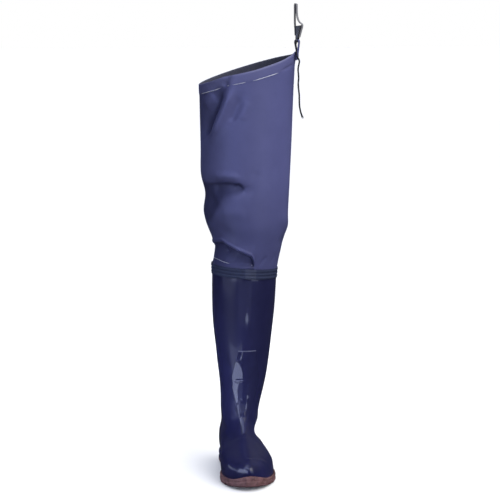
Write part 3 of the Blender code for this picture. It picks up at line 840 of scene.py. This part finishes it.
# %% Ridge and ripples of the shin panel
RidgePoint = namedtuple("RidgePoint", "name height x")
PANEL_RIDGE = (
    RidgePoint("tip", 96.0, 6.0),
    RidgePoint("low", 125.0, 1.0),
    RidgePoint("shin", 145.0, -6.0),
    RidgePoint("waist", 165.0, -8.0),
    RidgePoint("notch", 182.0, -5.0),
    RidgePoint("under pinch", 185.0, 4.0),
    RidgePoint("over pinch", 203.0, 4.0),
    RidgePoint("slope", 214.0, 0.0),
    RidgePoint("high", 230.0, -9.0),
    RidgePoint("top", 248.0, -13.0),
)
RIDGE_HEIGHT = 1.2
RIDGE_REACH = 6.0
PANEL_SINK = 0.55
PANEL_DENTS = (
    Dent("pinch", -20.0, -52.0, 186.0, 4.0, -57.0, 187.5, -0.9, 2.4),
    Dent("pinch lip", -18.0, -52.0, 191.0, 2.0, -57.0, 192.5, 0.25, 2.4),
    Dent("outer ripple", 12.0, -58.0, 224.0, 22.0, -56.0, 210.0, -0.5, 6.0),
    Dent("low ripple", 11.5, -62.0, 150.0, 6.0, -67.4, 118.0, 0.7, 4.0),
    Dent("inner ripple", -18.0, -50.0, 216.0, -8.0, -54.0, 224.0, 0.35, 5.0),
    Dent("pressed corner", -20.0, -49.0, 250.0, -6.0, -54.0, 250.0, -0.9, 11.0),
)
print(len(PANEL_RIDGE), "places on the ridge,", len(PANEL_DENTS), "ripples")

# %% [markdown]
# The real kite reaches a little further round the inner side than its solid. So its inner half is moved
# round the shaft, most at its widest level, and rays find the boot's skin below, so that it stays on the
# boot.

# %% Shin panel
BOOT_AXIS = (0.015, -0.001)
PANEL_STRETCH = 0.26
WIDEST_LEVEL = 188.0
STRETCH_REACH = 55.0
EDGE_LEVEL = 246.0
EDGE_FADE = 1.2
BEND_LEVEL = 126.0
BEND_FADE = 8.0
CREST_EDGE = 0.2
CREST_FADE = 1.4
RUB_UP = Span(146.0, 185.0, 6.0, 2.0)
RUB_ROUND = Span(CREST_EDGE, 15.0, CREST_FADE, 3.0)
RUBBED_OFF = 0.9


def widen(points):
    moved = points.copy()
    for index, (x, y, z) in enumerate(points):
        turn = math.degrees(math.atan2(x - BOOT_AXIS[0], BOOT_AXIS[1] - y))
        wider = PANEL_STRETCH * max(0.0, 1.0 - abs(z / MM - WIDEST_LEVEL) / STRETCH_REACH)
        if turn < 0.0 < wider:
            below, way = on_skin(boot, BOOT_AXIS, turn, z / MM)
            from_axis = math.hypot(x - BOOT_AXIS[0], y - BOOT_AXIS[1])
            raised = from_axis - (below - Vector((*BOOT_AXIS, z))).length
            below, way = on_skin(boot, BOOT_AXIS, turn * (1.0 + wider), z / MM)
            moved[index] = below + way * raised
    return moved


panel = smooth_copy("shin_panel", "shin_patch", rim_angle=50.0, crease=0.6, levels=3)
bpy.context.view_layer.update()
points = widen(read_points(panel))
panel_height = points[:, 2] / MM
past_ridge = points[:, 0] / MM - read_table(PANEL_RIDGE, "height", "x", panel_height)
ridge = RIDGE_HEIGHT * np.exp(-np.maximum(past_ridge, 0.0) / RIDGE_REACH)
push = ridge - PANEL_SINK + dent_push(PANEL_DENTS, points / MM)
write_points(panel, points + away_from_line(points / MM, BOOT_LINE) * push[:, None] * MM)
bent = soft_step((BEND_LEVEL - panel_height) / BEND_FADE) * soft_step((past_ridge - CREST_EDGE) / CREST_FADE)
rubbed = window(panel_height, RUB_UP) * window(past_ridge, RUB_ROUND)
write_mask(panel, "gloss", 1.0 - RUBBED_OFF * np.maximum(bent, rubbed))
# Painted highlight along the panel's upper edge.
write_mask(panel, "edge", soft_step((panel_height - EDGE_LEVEL) / EDGE_FADE))
settle(panel, "panel_rubber", "shin_panel")

# %% [markdown]
# ## The knee tape
# A ribbed tape covers the joint of boot and leg. Bump could fake the ribs, but they show at the outline.
# So the band is cut into fine rows, and each row is moved out or in by a wave across the tape's height.

# %% Knee tape
TAPE_MIDDLE = 404.2
TAPE_TILT = -4.5
TAPE_HEIGHT = 20.0
TAPE_RIBS = 3
RIB_HEIGHT = 0.45
LAP_HALF = 10.5
LAP_MIDDLE = -1.0
LAP_FADE = 2.0
FACES_OUT = 0.2
tape = smooth_copy("knee_tape", "knee_band", rim_angle=40.0, crease=0.9, levels=4)
points = read_points(tape)
angle, height = unroll(points)
across = (height - TAPE_MIDDLE - TAPE_TILT * np.sin(np.radians(angle))) / TAPE_HEIGHT
outside = (read_normals(tape) * way_out(angle)).sum(axis=1) > FACES_OUT
wave = np.cos(2.0 * math.pi * TAPE_RIBS * across) * outside
write_points(tape, points + way_out(angle) * (RIB_HEIGHT * wave)[:, None] * MM)
# Painted highlight: the rib mask is highest on the rib crests.
write_mask(tape, "rib", np.clip(0.5 + 0.5 * wave, 0.0, 1.0))
write_mask(tape, "lap", soft_step((LAP_HALF - np.abs(angle - LAP_MIDDLE)) / LAP_FADE) * outside)
settle(tape, "tape_cloth", "knee_tape")

# %% [markdown]
# ## The sole
# The sole is moulded rubber with soft edges. A bevel would stumble over its many small lugs. A voxel
# remesh turns the sharp solid into an even skin instead, and smoothing rounds its lugs as a mould would.

# %% Sole
VOXEL = 0.0013
SMOOTH_ROUNDS = 6
sole = copy_node("outsole", "sole")
even = sole.modifiers.new("even skin", "REMESH")
even.mode = "VOXEL"
even.voxel_size = VOXEL
soften = sole.modifiers.new("soften", "SMOOTH")
soften.factor = 0.5
soften.iterations = SMOOTH_ROUNDS
apply_modifiers(sole)
bpy.ops.object.shade_smooth()
settle(sole, "sole_rubber", "outsole")

# %% [markdown]
# ## The footbed
# Inside the boot lies a flat felt footbed. It is hardly seen, so it only gets a rounded edge.

# %% Footbed
footbed = smooth_copy("insole", "footbed", rim_angle=60.0, crease=0.8, levels=3)
settle(footbed, "footbed_cloth", "insole")

# %% [markdown]
# ## The hip strap
# The strap is short: a tab of the leg's cloth holds the buckle, and webbing runs up from it and ends in a
# loop. Their solids have the right form, so their copies only get rounded edges. The webbing is also cut
# lengthwise near both edges, so that a mask can mark its selvedges.

# %% Tab, webbing and buckle
SELVEDGE_CUTS = (-10.2, -9.4, 9.4, 10.2)
SELVEDGE_START = 9.8
SHARP_ANGLE = 50.0


def rounded_copy(node_name, piece_name, width, segments, angle):
    """Copies a solid and bevels the edges that are sharper than an angle."""
    piece = copy_node(node_name, piece_name)
    bevel = piece.modifiers.new("rounded edges", "BEVEL")
    bevel.width = width
    bevel.segments = segments
    bevel.limit_method = "ANGLE"
    bevel.angle_limit = math.radians(angle)
    apply_modifiers(piece)
    bpy.ops.object.shade_smooth_by_angle(angle=math.radians(SHARP_ANGLE))
    return piece


tab = rounded_copy("hip_tab", "tab", width=0.0004, segments=2, angle=60.0)
settle(tab, "tab_cloth", "hip_tab")
buckle = rounded_copy("hip_buckle", "buckle", width=0.0008, segments=3, angle=30.0)
settle(buckle, "buckle_plastic", "hip_buckle")
webbing = rounded_copy("belt_webbing", "webbing", width=0.0004, segments=2, angle=60.0)
strap_way = hip_to_row.to_3x3() @ Vector((0.0, 1.0, 0.0))
with editing(webbing):
    for offset in SELVEDGE_CUTS:
        bpy.ops.mesh.select_all(action="SELECT")
        bpy.ops.mesh.bisect(plane_co=HIP_PLACE + strap_way * offset * MM, plane_no=strap_way)
from_middle = np.abs((read_points(webbing) - np.array(HIP_PLACE)) @ np.array(strap_way)) / MM
write_mask(webbing, "selvedge", (from_middle > SELVEDGE_START).astype(float))
settle(webbing, "webbing_cloth", "belt_webbing")

# %% [markdown]
# The tab is sewn to the hem with two plain rows. One stitch is modelled: a small ball, drawn out and
# flattened. Rays find the places of its copies on the tab, and each copy leans a little, as hand-guided
# stitches do.

# %% Stitches of the tab
STITCH_LENGTH = 2.3
STITCH_SLIM = 0.34
STITCH_PITCH = 3.1
STITCH_LEAN = 0.06
STITCHES_A_ROW = 7
STITCH_ROWS = (-5.0, -10.5)
RAY_START = 30.0

bpy.ops.mesh.primitive_uv_sphere_add(segments=10, ring_count=6, radius=0.5 * STITCH_LENGTH * MM)
stitch = bpy.context.object
with editing(stitch):
    bpy.ops.transform.resize(value=(STITCH_SLIM, 1.0, STITCH_SLIM))
inward = hip_to_row.to_3x3() @ Vector((-1.0, 0.0, 0.0))
bpy.context.view_layer.update()
stitches = []
for up in STITCH_ROWS:
    for step in range(STITCHES_A_ROW):
        along = (step - 0.5 * (STITCHES_A_ROW - 1)) * STITCH_PITCH
        start = hip_to_row @ (Vector((RAY_START, along, up)) * MM)
        copy = stitch.copy()
        copy.data = stitch.data.copy()
        copy.location = tab.ray_cast(start, inward)[1]
        copy.rotation_euler = (STITCH_LEAN * math.sin(5.0 * step + up), 0.0, HIP_TURN)
        bpy.context.scene.collection.objects.link(copy)
        stitches.append(copy)
bpy.data.objects.remove(stitch, do_unlink=True)
tab_stitches = join_pieces(stitches, "tab_stitches")
settle(tab_stitches, "tab_cloth")

# %% [markdown]
# ## Shared effects
# A finish is never one flat colour. Four effects serve all of them, each a group of nodes: blotches that
# blend two colours, a fine grain that dents the skin, crossed threads, and dust that gathers near the
# floor. All of them read the piece's own coordinates, so nothing slides when the wader is moved. A mix node
# has sockets of one name for numbers, vectors and colours, so its sockets are taken by place.

# %% Helpers for nodes
FACTOR = 0
NUMBER_A = 2
NUMBER_B = 3
COLOUR_A = 6
COLOUR_B = 7
MIXED_COLOUR = 2
BLACK = (0.0, 0.0, 0.0)


def node(tree, kind, **settings):
    """Adds a shader node. A setting names an input socket in small letters, or else an option of the node."""
    made = tree.nodes.new("ShaderNode" + kind)
    for name, value in settings.items():
        label = name.replace("_", " ").title()
        if label in made.inputs:
            made.inputs[label].default_value = value
        else:
            setattr(made, name, value)
    return made


def mix_colours(tree, first=BLACK, second=BLACK):
    """Adds a mix of two colours, which are set here or wired later."""
    made = node(tree, "Mix", data_type="RGBA")
    made.inputs[COLOUR_A].default_value = (*first, 1.0)
    made.inputs[COLOUR_B].default_value = (*second, 1.0)
    return made


def wire(tree, *links):
    """Joins sockets. A link is a node with its output, then a node with its input."""
    for start, output, end, entry in links:
        tree.links.new(start.outputs[output], end.inputs[entry])


def new_group(name, inputs, outputs):
    """Starts a node group with its ends and the piece's coordinates.

    Inputs are pairs of name and start value, outputs are pairs of name and socket kind.
    """
    group = bpy.data.node_groups.new(name, "ShaderNodeTree")
    for label, start in inputs:
        kind = "NodeSocketFloat" if isinstance(start, float) else "NodeSocketColor"
        socket = group.interface.new_socket(label, in_out="INPUT", socket_type=kind)
        socket.default_value = start
    for label, kind in outputs:
        group.interface.new_socket(label, in_out="OUTPUT", socket_type=kind)
    given = group.nodes.new("NodeGroupInput")
    result = group.nodes.new("NodeGroupOutput")
    return group, given, result, node(group, "TexCoord")


print("node groups so far:", len(bpy.data.node_groups))

# %% [markdown]
# Dyed cloth and rubber are never quite even. Blotches blend a dark and a light colour by soft noise, and
# put out the noise as a mask too, so that roughness can follow it.

# %% Blotches
DARK = (0.1, 0.1, 0.1, 1.0)
LIGHT = (0.2, 0.2, 0.2, 1.0)
blotches, given, result, place = new_group(
    "blotches",
    (("Dark", DARK), ("Light", LIGHT), ("Scale", 30.0)),
    (("Colour", "NodeSocketColor"), ("Mask", "NodeSocketFloat")),
)
cloud = node(blotches, "TexNoise", detail=5.0, roughness=0.62)
spread = node(blotches, "MapRange", from_min=0.3, from_max=0.7)
blend = mix_colours(blotches)
wire(
    blotches,
    (place, "Object", cloud, "Vector"),
    (given, "Scale", cloud, "Scale"),
    (cloud, 0, spread, "Value"),
    (spread, 0, blend, FACTOR),
    (given, "Dark", blend, COLOUR_A),
    (given, "Light", blend, COLOUR_B),
    (blend, MIXED_COLOUR, result, "Colour"),
    (spread, 0, result, "Mask"),
)
print(blotches.name, "has", len(blotches.nodes), "nodes")

# %% [markdown]
# A moulded or coated skin has a fine grain on long, lazy waves. Both are noise at different scales, mixed
# to one height for the bump.

# %% Grain
grain, given, result, place = new_group(
    "grain",
    (("Fine Scale", 900.0), ("Wave Scale", 45.0), ("Wave Share", 0.5)),
    (("Height", "NodeSocketFloat"),),
)
fine = node(grain, "TexNoise", detail=3.0)
waves = node(grain, "TexNoise", detail=1.0)
mixed = node(grain, "Mix", data_type="FLOAT")
wire(
    grain,
    (place, "Object", fine, "Vector"),
    (place, "Object", waves, "Vector"),
    (given, "Fine Scale", fine, "Scale"),
    (given, "Wave Scale", waves, "Scale"),
    (given, "Wave Share", mixed, FACTOR),
    (fine, 0, mixed, NUMBER_A),
    (waves, 0, mixed, NUMBER_B),
    (mixed, 0, result, "Height"),
)
print(grain.name, "has", len(grain.nodes), "nodes")

# %% [markdown]
# Cloth shows its threads. Two sets of waves cross, and the higher one wins at each place, as a thread
# that lies on top.

# %% Threads
threads, given, result, place = new_group(
    "threads", (("Scale", 400.0),), (("Height", "NodeSocketFloat"),)
)
warp = node(threads, "TexWave", bands_direction="Z", distortion=0.6)
weft = node(threads, "TexWave", bands_direction="DIAGONAL", distortion=0.6)
woven = node(threads, "Math", operation="MAXIMUM")
wire(
    threads,
    (place, "Object", warp, "Vector"),
    (place, "Object", weft, "Vector"),
    (given, "Scale", warp, "Scale"),
    (given, "Scale", weft, "Scale"),
    (warp, "Fac", woven, 0),
    (weft, "Fac", woven, 1),
    (woven, 0, result, "Height"),
)
print(threads.name, "has", len(threads.nodes), "nodes")

# %% [markdown]
# Dust sits low and in patches. A ramp that falls with height is multiplied by speckled noise.

# %% Dust near the floor
dust, given, result, place = new_group(
    "dust", (("Reach", 0.06), ("Scale", 120.0)), (("Mask", "NodeSocketFloat"),)
)
split = node(dust, "SeparateXYZ")
low = node(dust, "MapRange", interpolation_type="SMOOTHSTEP", to_min=1.0, to_max=0.0)
specks = node(dust, "TexNoise", detail=6.0, roughness=0.7)
patchy = node(dust, "MapRange", from_min=0.48, from_max=0.72)
gathered = node(dust, "Math", operation="MULTIPLY", use_clamp=True)
wire(
    dust,
    (place, "Object", split, 0),
    (split, "Z", low, "Value"),
    (given, "Reach", low, "From Max"),
    (place, "Object", specks, "Vector"),
    (given, "Scale", specks, "Scale"),
    (specks, 0, patchy, "Value"),
    (low, 0, gathered, 0),
    (patchy, 0, gathered, 1),
    (gathered, 0, result, "Mask"),
)
print(dust.name, "has", len(dust.nodes), "nodes")

# %% [markdown]
# ## Finishes
# Each finish starts from the same recipe: blotches give the colour and vary the roughness, and grain or
# threads give the bump. Then each one gets what makes it different.


# %% The common recipe
def use_group(tree, group, **settings):
    made = tree.nodes.new("ShaderNodeGroup")
    made.node_tree = group
    for name, value in settings.items():
        made.inputs[name.replace("_", " ").title()].default_value = value
    return made


def shader_of(finish):
    return finish.node_tree.nodes["Principled BSDF"]


def new_finish(name, dark, light, scale, roughness, relief, depth, specular=0.5):
    """Starts a finish: colour from blotches, a range of roughness from their mask, bump from a relief.

    A relief is a node group with its values, and its depth is in millimetres.
    """
    finish = bpy.data.materials.new(name)
    finish.use_nodes = True
    tree = finish.node_tree
    shader = shader_of(finish)
    shader.inputs["Specular IOR Level"].default_value = specular
    colour = use_group(tree, blotches, dark=(*dark, 1.0), light=(*light, 1.0), scale=scale)
    worn = node(tree, "MapRange", to_min=roughness[0], to_max=roughness[1])
    surface = use_group(tree, relief[0], **relief[1])
    bump = node(tree, "Bump", distance=depth * MM)
    wire(
        tree,
        (colour, "Colour", shader, "Base Color"),
        (colour, "Mask", worn, "Value"),
        (worn, 0, shader, "Roughness"),
        (surface, "Height", bump, "Height"),
        (bump, 0, shader, "Normal"),
    )
    print("finish", name)
    return finish


def wear(piece, *finishes):
    piece.data.materials.clear()
    for finish in finishes:
        piece.data.materials.append(finish)


lining = new_finish(
    "lining", dark=(0.050, 0.052, 0.085), light=(0.075, 0.078, 0.120), scale=300.0,
    roughness=(0.85, 0.95), relief=(threads, dict(scale=260.0)),
    depth=0.25,
)

# %% [markdown]
# A mask that was painted on the points is read as an attribute and scaled to a share. Another colour is
# then laid over the finish where the mask says so. A clear coat follows a mask too, dust lies on top near
# the floor, and faces that look inward can wear a lining.


# %% Masks, coat, dust and lining
def read_mask(finish, name, share):
    tree = finish.node_tree
    painted = node(tree, "Attribute", attribute_name=name)
    part = node(tree, "MapRange", to_max=share)
    wire(tree, (painted, "Fac", part, "Value"))
    return part


def shift_colour(finish, mask, colour):
    """Lays another colour over a finish where the first output of a mask node says so."""
    tree = finish.node_tree
    shader = shader_of(finish)
    before = shader.inputs["Base Color"].links[0].from_socket
    over = mix_colours(tree, second=colour)
    tree.links.new(before, over.inputs[COLOUR_A])
    wire(tree, (mask, 0, over, FACTOR), (over, MIXED_COLOUR, shader, "Base Color"))


def paint(finish, mask_name, share, colour):
    shift_colour(finish, read_mask(finish, mask_name, share), colour)


def add_coat(finish, most, roughness):
    """Lays a clear coat over a finish, as thick as its gloss mask says."""
    shader = shader_of(finish)
    shader.inputs["Coat Roughness"].default_value = roughness
    wire(finish.node_tree, (read_mask(finish, "gloss", most), 0, shader, "Coat Weight"))


def add_dust(finish, reach, scale, share, colour):
    tree = finish.node_tree
    near_floor = use_group(tree, dust, reach=reach, scale=scale)
    part = node(tree, "MapRange", to_max=share)
    wire(tree, (near_floor, "Mask", part, "Value"))
    shift_colour(finish, part, colour)


def line_inside(piece, facing):
    """Gives the faces that look inward the second finish."""
    inside = 0
    for polygon in piece.data.polygons:
        middle = sum(facing[corner] for corner in polygon.vertices)
        polygon.material_index = 1 if middle < 0.0 else 0
        inside += polygon.material_index
    print(piece.name, "has", inside, "lined faces of", len(piece.data.polygons))


print("finishes so far:", len(bpy.data.materials))

# %% [markdown]
# The leg's cloth is coated, so it has a dull sheen and a very fine grain. Its troughs and the places under
# the tuck and the arc, low down and at the groin get painted shade. The hem is painted a little paler, with
# a painted highlight on its rim. Its inside shows the uncoated knit, and the weld bead's pale colour is a
# painted highlight.

# %% Leg cloth
leg_cloth = new_finish(
    "leg_cloth", dark=(0.086, 0.093, 0.240), light=(0.095, 0.102, 0.264), scale=22.0,
    roughness=(0.46, 0.56), relief=(grain, dict(fine_scale=1400.0, wave_scale=70.0, wave_share=0.35)),
    depth=0.12, specular=0.3,
)
# Painted shade in the troughs, under the tuck and the arc, low on the leg and at the groin.
paint(leg_cloth, "trough", share=0.82, colour=(0.016, 0.018, 0.070))
paint(leg_cloth, "hem", share=0.55, colour=(0.120, 0.126, 0.285))
# Painted highlight on the hem's top rim.
paint(leg_cloth, "rim", share=0.6, colour=(0.20, 0.205, 0.36))
wear(leg, leg_cloth, lining)
wear(tab, leg_cloth)
line_inside(leg, leg_facing)
# The weld bead's pale colour is a painted highlight.
weld_highlight = new_finish(
    "weld_highlight", dark=(0.36, 0.38, 0.52), light=(0.72, 0.74, 0.84), scale=160.0,
    roughness=(0.25, 0.45), relief=(grain, dict(fine_scale=700.0)),
    depth=0.2,
)
wear(weld, weld_highlight)

# %% [markdown]
# The boot is dipped: a deep navy with a clear, slightly wavy gloss on top. The gloss is a coat, as thick
# as its mask says. The foot is darkened with painted shade, and dust dulls it near the floor.

# %% Boot rubber
boot_rubber = new_finish(
    "boot_rubber", dark=(0.0112, 0.0120, 0.050), light=(0.0132, 0.0140, 0.058), scale=26.0,
    roughness=(0.34, 0.46), relief=(grain, dict(fine_scale=600.0, wave_scale=38.0, wave_share=0.85)),
    depth=0.25, specular=0.12,
)
add_coat(boot_rubber, most=0.6, roughness=0.08)
# Painted shade on the foot.
paint(boot_rubber, "foot", share=0.45, colour=(0.004, 0.004, 0.030))
add_dust(boot_rubber, reach=0.10, scale=140.0, share=0.05, colour=(0.055, 0.048, 0.065))
wear(boot, boot_rubber, lining)
line_inside(boot, boot_facing)

# %% [markdown]
# The shin panel is the same stuff with a full coat of gloss. The coat was rubbed off where the ankle
# bends and on the outer flank of the ridge, and the upper edge gets a painted highlight.

# %% Panel rubber
panel_rubber = new_finish(
    "panel_rubber", dark=(0.0120, 0.0130, 0.049), light=(0.0140, 0.0150, 0.056), scale=40.0,
    roughness=(0.30, 0.40), relief=(grain, dict(fine_scale=500.0, wave_scale=55.0, wave_share=0.9)),
    depth=0.22, specular=0.06,
)
add_coat(panel_rubber, most=1.0, roughness=0.05)
# Painted highlight on the upper edge.
paint(panel_rubber, "edge", share=0.6, colour=(0.18, 0.19, 0.30))
wear(panel, panel_rubber)

# %% [markdown]
# The knee tape is a slate-grey woven band. Its rib crests get a painted highlight, and the lap at the
# front is paler.

# %% Tape cloth
tape_cloth = new_finish(
    "tape_cloth", dark=(0.019, 0.024, 0.060), light=(0.025, 0.033, 0.075), scale=120.0,
    roughness=(0.55, 0.70), relief=(threads, dict(scale=500.0)),
    depth=0.15, specular=0.15,
)
# Painted highlight on the rib crests.
paint(tape_cloth, "rib", share=0.55, colour=(0.044, 0.056, 0.118))
paint(tape_cloth, "lap", share=0.35, colour=(0.075, 0.085, 0.135))
wear(tape, tape_cloth)

# %% [markdown]
# The sole is brown rubber, mottled like a recycled mix. Behind the ball its side wall is painted the
# boot's deep navy as painted shade, so only the tread shows brown there. A short table gives the height
# of that line along the foot.

# %% Sole rubber
NavyShadePoint = namedtuple("NavyShadePoint", "name y height")
NAVY_SHADE_LINE = (
    NavyShadePoint("toe", -125.0, 60.0),
    NavyShadePoint("ball", -104.0, 20.0),
    NavyShadePoint("waist", -70.0, 11.0),
    NavyShadePoint("heel", 80.0, 9.0),
)
NAVY_SHADE_FADE = 1.5
points = read_points(sole) / MM
above_navy_shade = points[:, 2] - read_table(NAVY_SHADE_LINE, "y", "height", points[:, 1])
# Painted shade: the side wall is painted navy above this line.
write_mask(sole, "navy_shade", soft_step(above_navy_shade / NAVY_SHADE_FADE))
sole_rubber = new_finish(
    "sole_rubber", dark=(0.060, 0.028, 0.029), light=(0.190, 0.092, 0.094), scale=95.0,
    roughness=(0.55, 0.75), relief=(grain, dict(fine_scale=420.0, wave_scale=90.0, wave_share=0.4)),
    depth=0.5, specular=0.25,
)
# Painted shade: navy on the side wall behind the ball.
paint(sole_rubber, "navy_shade", share=1.0, colour=(0.0105, 0.0115, 0.058))
# The sole is darker in patches towards the bottom.
add_dust(sole_rubber, reach=0.012, scale=60.0, share=1.0, colour=(0.035, 0.024, 0.024))
wear(sole, sole_rubber)

# %% [markdown]
# The small things follow: grey felt, black cord and knot, grey webbing with darker selvedges, navy thread
# and the black moulded buckle. Each row names its pieces, and then what the common recipe asks for.

# %% Felt, cord, webbing, thread and buckle
SmallFinish = namedtuple("SmallFinish", "pieces name dark light scale roughness relief depth")
SMALL_FINISHES = (
    SmallFinish(
        (footbed,), "felt", (0.045, 0.045, 0.050), (0.075, 0.075, 0.080), 250.0, (0.90, 0.98),
        (grain, dict(fine_scale=1500.0)), 0.6,
    ),
    SmallFinish(
        (cord, fray, knot), "black_cord", (0.006, 0.006, 0.008), (0.016, 0.016, 0.018), 400.0, (0.70, 0.90),
        (threads, dict(scale=900.0)), 0.2,
    ),
    SmallFinish(
        (webbing,), "grey_webbing", (0.24, 0.24, 0.27), (0.36, 0.36, 0.39), 350.0, (0.75, 0.88),
        (threads, dict(scale=420.0)), 0.4,
    ),
    SmallFinish(
        (tab_stitches,), "navy_thread", (0.030, 0.033, 0.095), (0.050, 0.054, 0.140), 500.0, (0.60, 0.80),
        (threads, dict(scale=900.0)), 0.1,
    ),
    SmallFinish(
        (buckle,), "black_plastic", (0.009, 0.009, 0.011), (0.016, 0.016, 0.018), 180.0, (0.32, 0.48),
        (grain, dict(fine_scale=1100.0, wave_share=0.2)), 0.15,
    ),
)
for row in SMALL_FINISHES:
    finish = new_finish(*row[1:])
    for piece in row.pieces:
        wear(piece, finish)
paint(webbing.data.materials[0], "selvedge", share=0.5, colour=(0.15, 0.15, 0.17))

# %% [markdown]
# ## Floor
# The wader stands on a plain pale floor. Gloss would mirror so much white, and the boot would lose its
# depth, so the floor is pale to the eye and dim to every other ray.

# %% Floor
bpy.ops.mesh.primitive_plane_add(size=60.0, location=(0.0, 0.0, 0.0))
floor = bpy.context.object
floor.name = "floor"
floor_paint = new_finish(
    "floor_paint", dark=(0.88, 0.88, 0.88), light=(0.90, 0.90, 0.90), scale=3.0,
    roughness=(0.88, 0.92), relief=(grain, dict(fine_scale=300.0)),
    depth=0.05, specular=0.0,
)
tree = floor_paint.node_tree
path = node(tree, "LightPath")
dimmed = mix_colours(tree, first=(0.20, 0.20, 0.21), second=(0.03, 0.03, 0.04))
dim_bounce = node(tree, "BsdfDiffuse")
eye_or_bounce = node(tree, "MixShader")
wire(
    tree,
    (path, "Is Glossy Ray", dimmed, FACTOR),
    (dimmed, MIXED_COLOUR, dim_bounce, "Color"),
    (path, "Is Camera Ray", eye_or_bounce, 0),
    (dim_bounce, 0, eye_or_bounce, 1),
    (shader_of(floor_paint), 0, eye_or_bounce, 2),
    (eye_or_bounce, 0, tree.nodes["Material Output"], "Surface"),
)
wear(floor, floor_paint)

# %% [markdown]
# ## Lights
# A large soft light stands to the front right and a weaker one behind. Two narrow bluish fills stand low
# on either side, so that the boot doesn't sink into black there. They give no gloss of their own.

# %% Lights
Softbox = namedtuple("Softbox", "name place target width height power")
SOFTBOXES = (
    Softbox("key", (1.25, -2.3, 2.0), (0.0, 0.0, 0.7), 1.8, 1.8, 36.0),
    Softbox("back fill", (0.23, 1.6, 0.9), (0.0, 0.0, 0.5), 0.5, 1.2, 5.0),
    Softbox("inner fill", (-0.62, -0.38, 0.16), (0.0, -0.04, 0.16), 0.4, 0.3, 0.50),
    Softbox("outer fill", (0.55, -0.75, 0.12), (0.05, -0.15, 0.03), 0.3, 0.15, 0.09),
)
KEY_COLOUR = (1.0, 0.985, 0.955)
FILL_COLOUR = (0.75, 0.82, 1.0)
FILL_SPREADS = (("inner fill", 50.0), ("outer fill", 26.0))


def add_softbox(row):
    place = Vector(row.place)
    aim = (Vector(row.target) - place).to_track_quat("-Z", "Y").to_euler()
    bpy.ops.object.light_add(type="AREA", location=place, rotation=aim)
    softbox = bpy.context.object
    softbox.name = row.name
    softbox.data.shape = "RECTANGLE"
    softbox.data.size = row.width
    softbox.data.size_y = row.height
    softbox.data.energy = row.power
    softbox.visible_camera = False
    return softbox


lights = {row.name: add_softbox(row) for row in SOFTBOXES}
lights["key"].data.color = KEY_COLOUR
for name, spread in FILL_SPREADS:
    fill = lights[name]
    fill.visible_glossy = False
    fill.data.color = FILL_COLOUR
    fill.data.spread = math.radians(spread)
print(len(lights), "soft lights")

# %% [markdown]
# A dipped boot lives by what it mirrors. Photographers hold up white cards for that, and so does this
# scene: bluish cards that only the gloss can see. Each row names what its card draws on the boot.

# %% Gloss cards
GLOSS_CARDS = (
    Softbox("front strip", (-0.035, -0.42, 0.255), (-0.035, 0.0, 0.255), 0.363, 0.13, 0.09),
    Softbox("shaft spot", (0.040, -0.42, 0.207), (0.012, -0.063, 0.317), 0.018, 0.009, 0.006),
    Softbox("shin patch", (-0.208, -0.271, 0.087), (0.0, -0.055, 0.137), 0.36, 0.133, 0.63),
    Softbox("shin tail", (-0.48, -0.48, 0.50), (0.0, -0.07, 0.12), 0.26, 0.66, 1.40),
    Softbox("shin tip", (-0.21, -0.44, 0.90), (-0.002, -0.08, 0.10), 0.45, 0.67, 2.0),
    Softbox("shin ripple", (0.737, -1.376, 0.26), (0.01, -0.064, 0.14), 0.7, 0.34, 2.5),
    Softbox("toe side", (-0.307, -0.054, 0.052), (-0.035, -0.18, 0.039), 0.20, 0.045, 0.05),
    Softbox("toe top", (-0.29, -0.82, 0.80), (-0.02, -0.2, 0.04), 0.20, 0.06, 1.2),
    Softbox("inner wall", (-1.26, -0.84, 0.30), (0.0, -0.05, 0.25), 2.4, 1.0, 8.0),
)
CARD_COLOUR = (0.62, 0.70, 1.0)
for row in GLOSS_CARDS:
    card = add_softbox(row)
    card.visible_diffuse = False
    card.data.color = CARD_COLOUR
print(len(GLOSS_CARDS), "gloss cards")

# %% [markdown]
# ## Sky
# The room is bright overhead, dimmer near the horizon and dimmest on the wader's inner side, where it is
# also bluer. Gloss sees it weaker still. To the eye it is white.

# %% Sky
world = bpy.data.worlds.new("studio")
bpy.context.scene.world = world
world.use_nodes = True
tree = world.node_tree
dome = tree.nodes["Background"]
direction = node(tree, "TexCoord")
split = node(tree, "SeparateXYZ")
upward = node(tree, "MapRange", from_min=0.05, from_max=0.75, to_min=0.12, to_max=1.75)
sideways = node(tree, "MapRange", from_min=-0.9, from_max=0.9, to_min=0.25, to_max=1.5)
strength = node(tree, "Math", operation="MULTIPLY")
across_room = node(tree, "MapRange", from_min=-0.9, from_max=0.9)
tint = mix_colours(tree, first=(0.82, 0.89, 1.08), second=(1.0, 0.98, 0.95))
path = node(tree, "LightPath")
weaker = node(tree, "MapRange", to_min=1.0, to_max=0.10)
seen = node(tree, "Math", operation="MULTIPLY")
white = node(tree, "Background", color=(1.0, 1.0, 1.0, 1.0), strength=1.0)
chooser = node(tree, "MixShader")
wire(
    tree,
    (direction, "Generated", split, 0),
    (split, "Z", upward, "Value"),
    (split, "X", sideways, "Value"),
    (split, "X", across_room, "Value"),
    (across_room, 0, tint, FACTOR),
    (tint, MIXED_COLOUR, dome, "Color"),
    (upward, 0, strength, 0),
    (sideways, 0, strength, 1),
    (path, "Is Glossy Ray", weaker, "Value"),
    (strength, 0, seen, 0),
    (weaker, 0, seen, 1),
    (seen, 0, dome, "Strength"),
    (path, "Is Camera Ray", chooser, 0),
    (dome, 0, chooser, 1),
    (white, 0, chooser, 2),
    (chooser, 0, tree.nodes["World Output"], "Surface"),
)
bpy.context.scene.view_settings.view_transform = "Standard"
print("sky has", len(tree.nodes), "nodes")
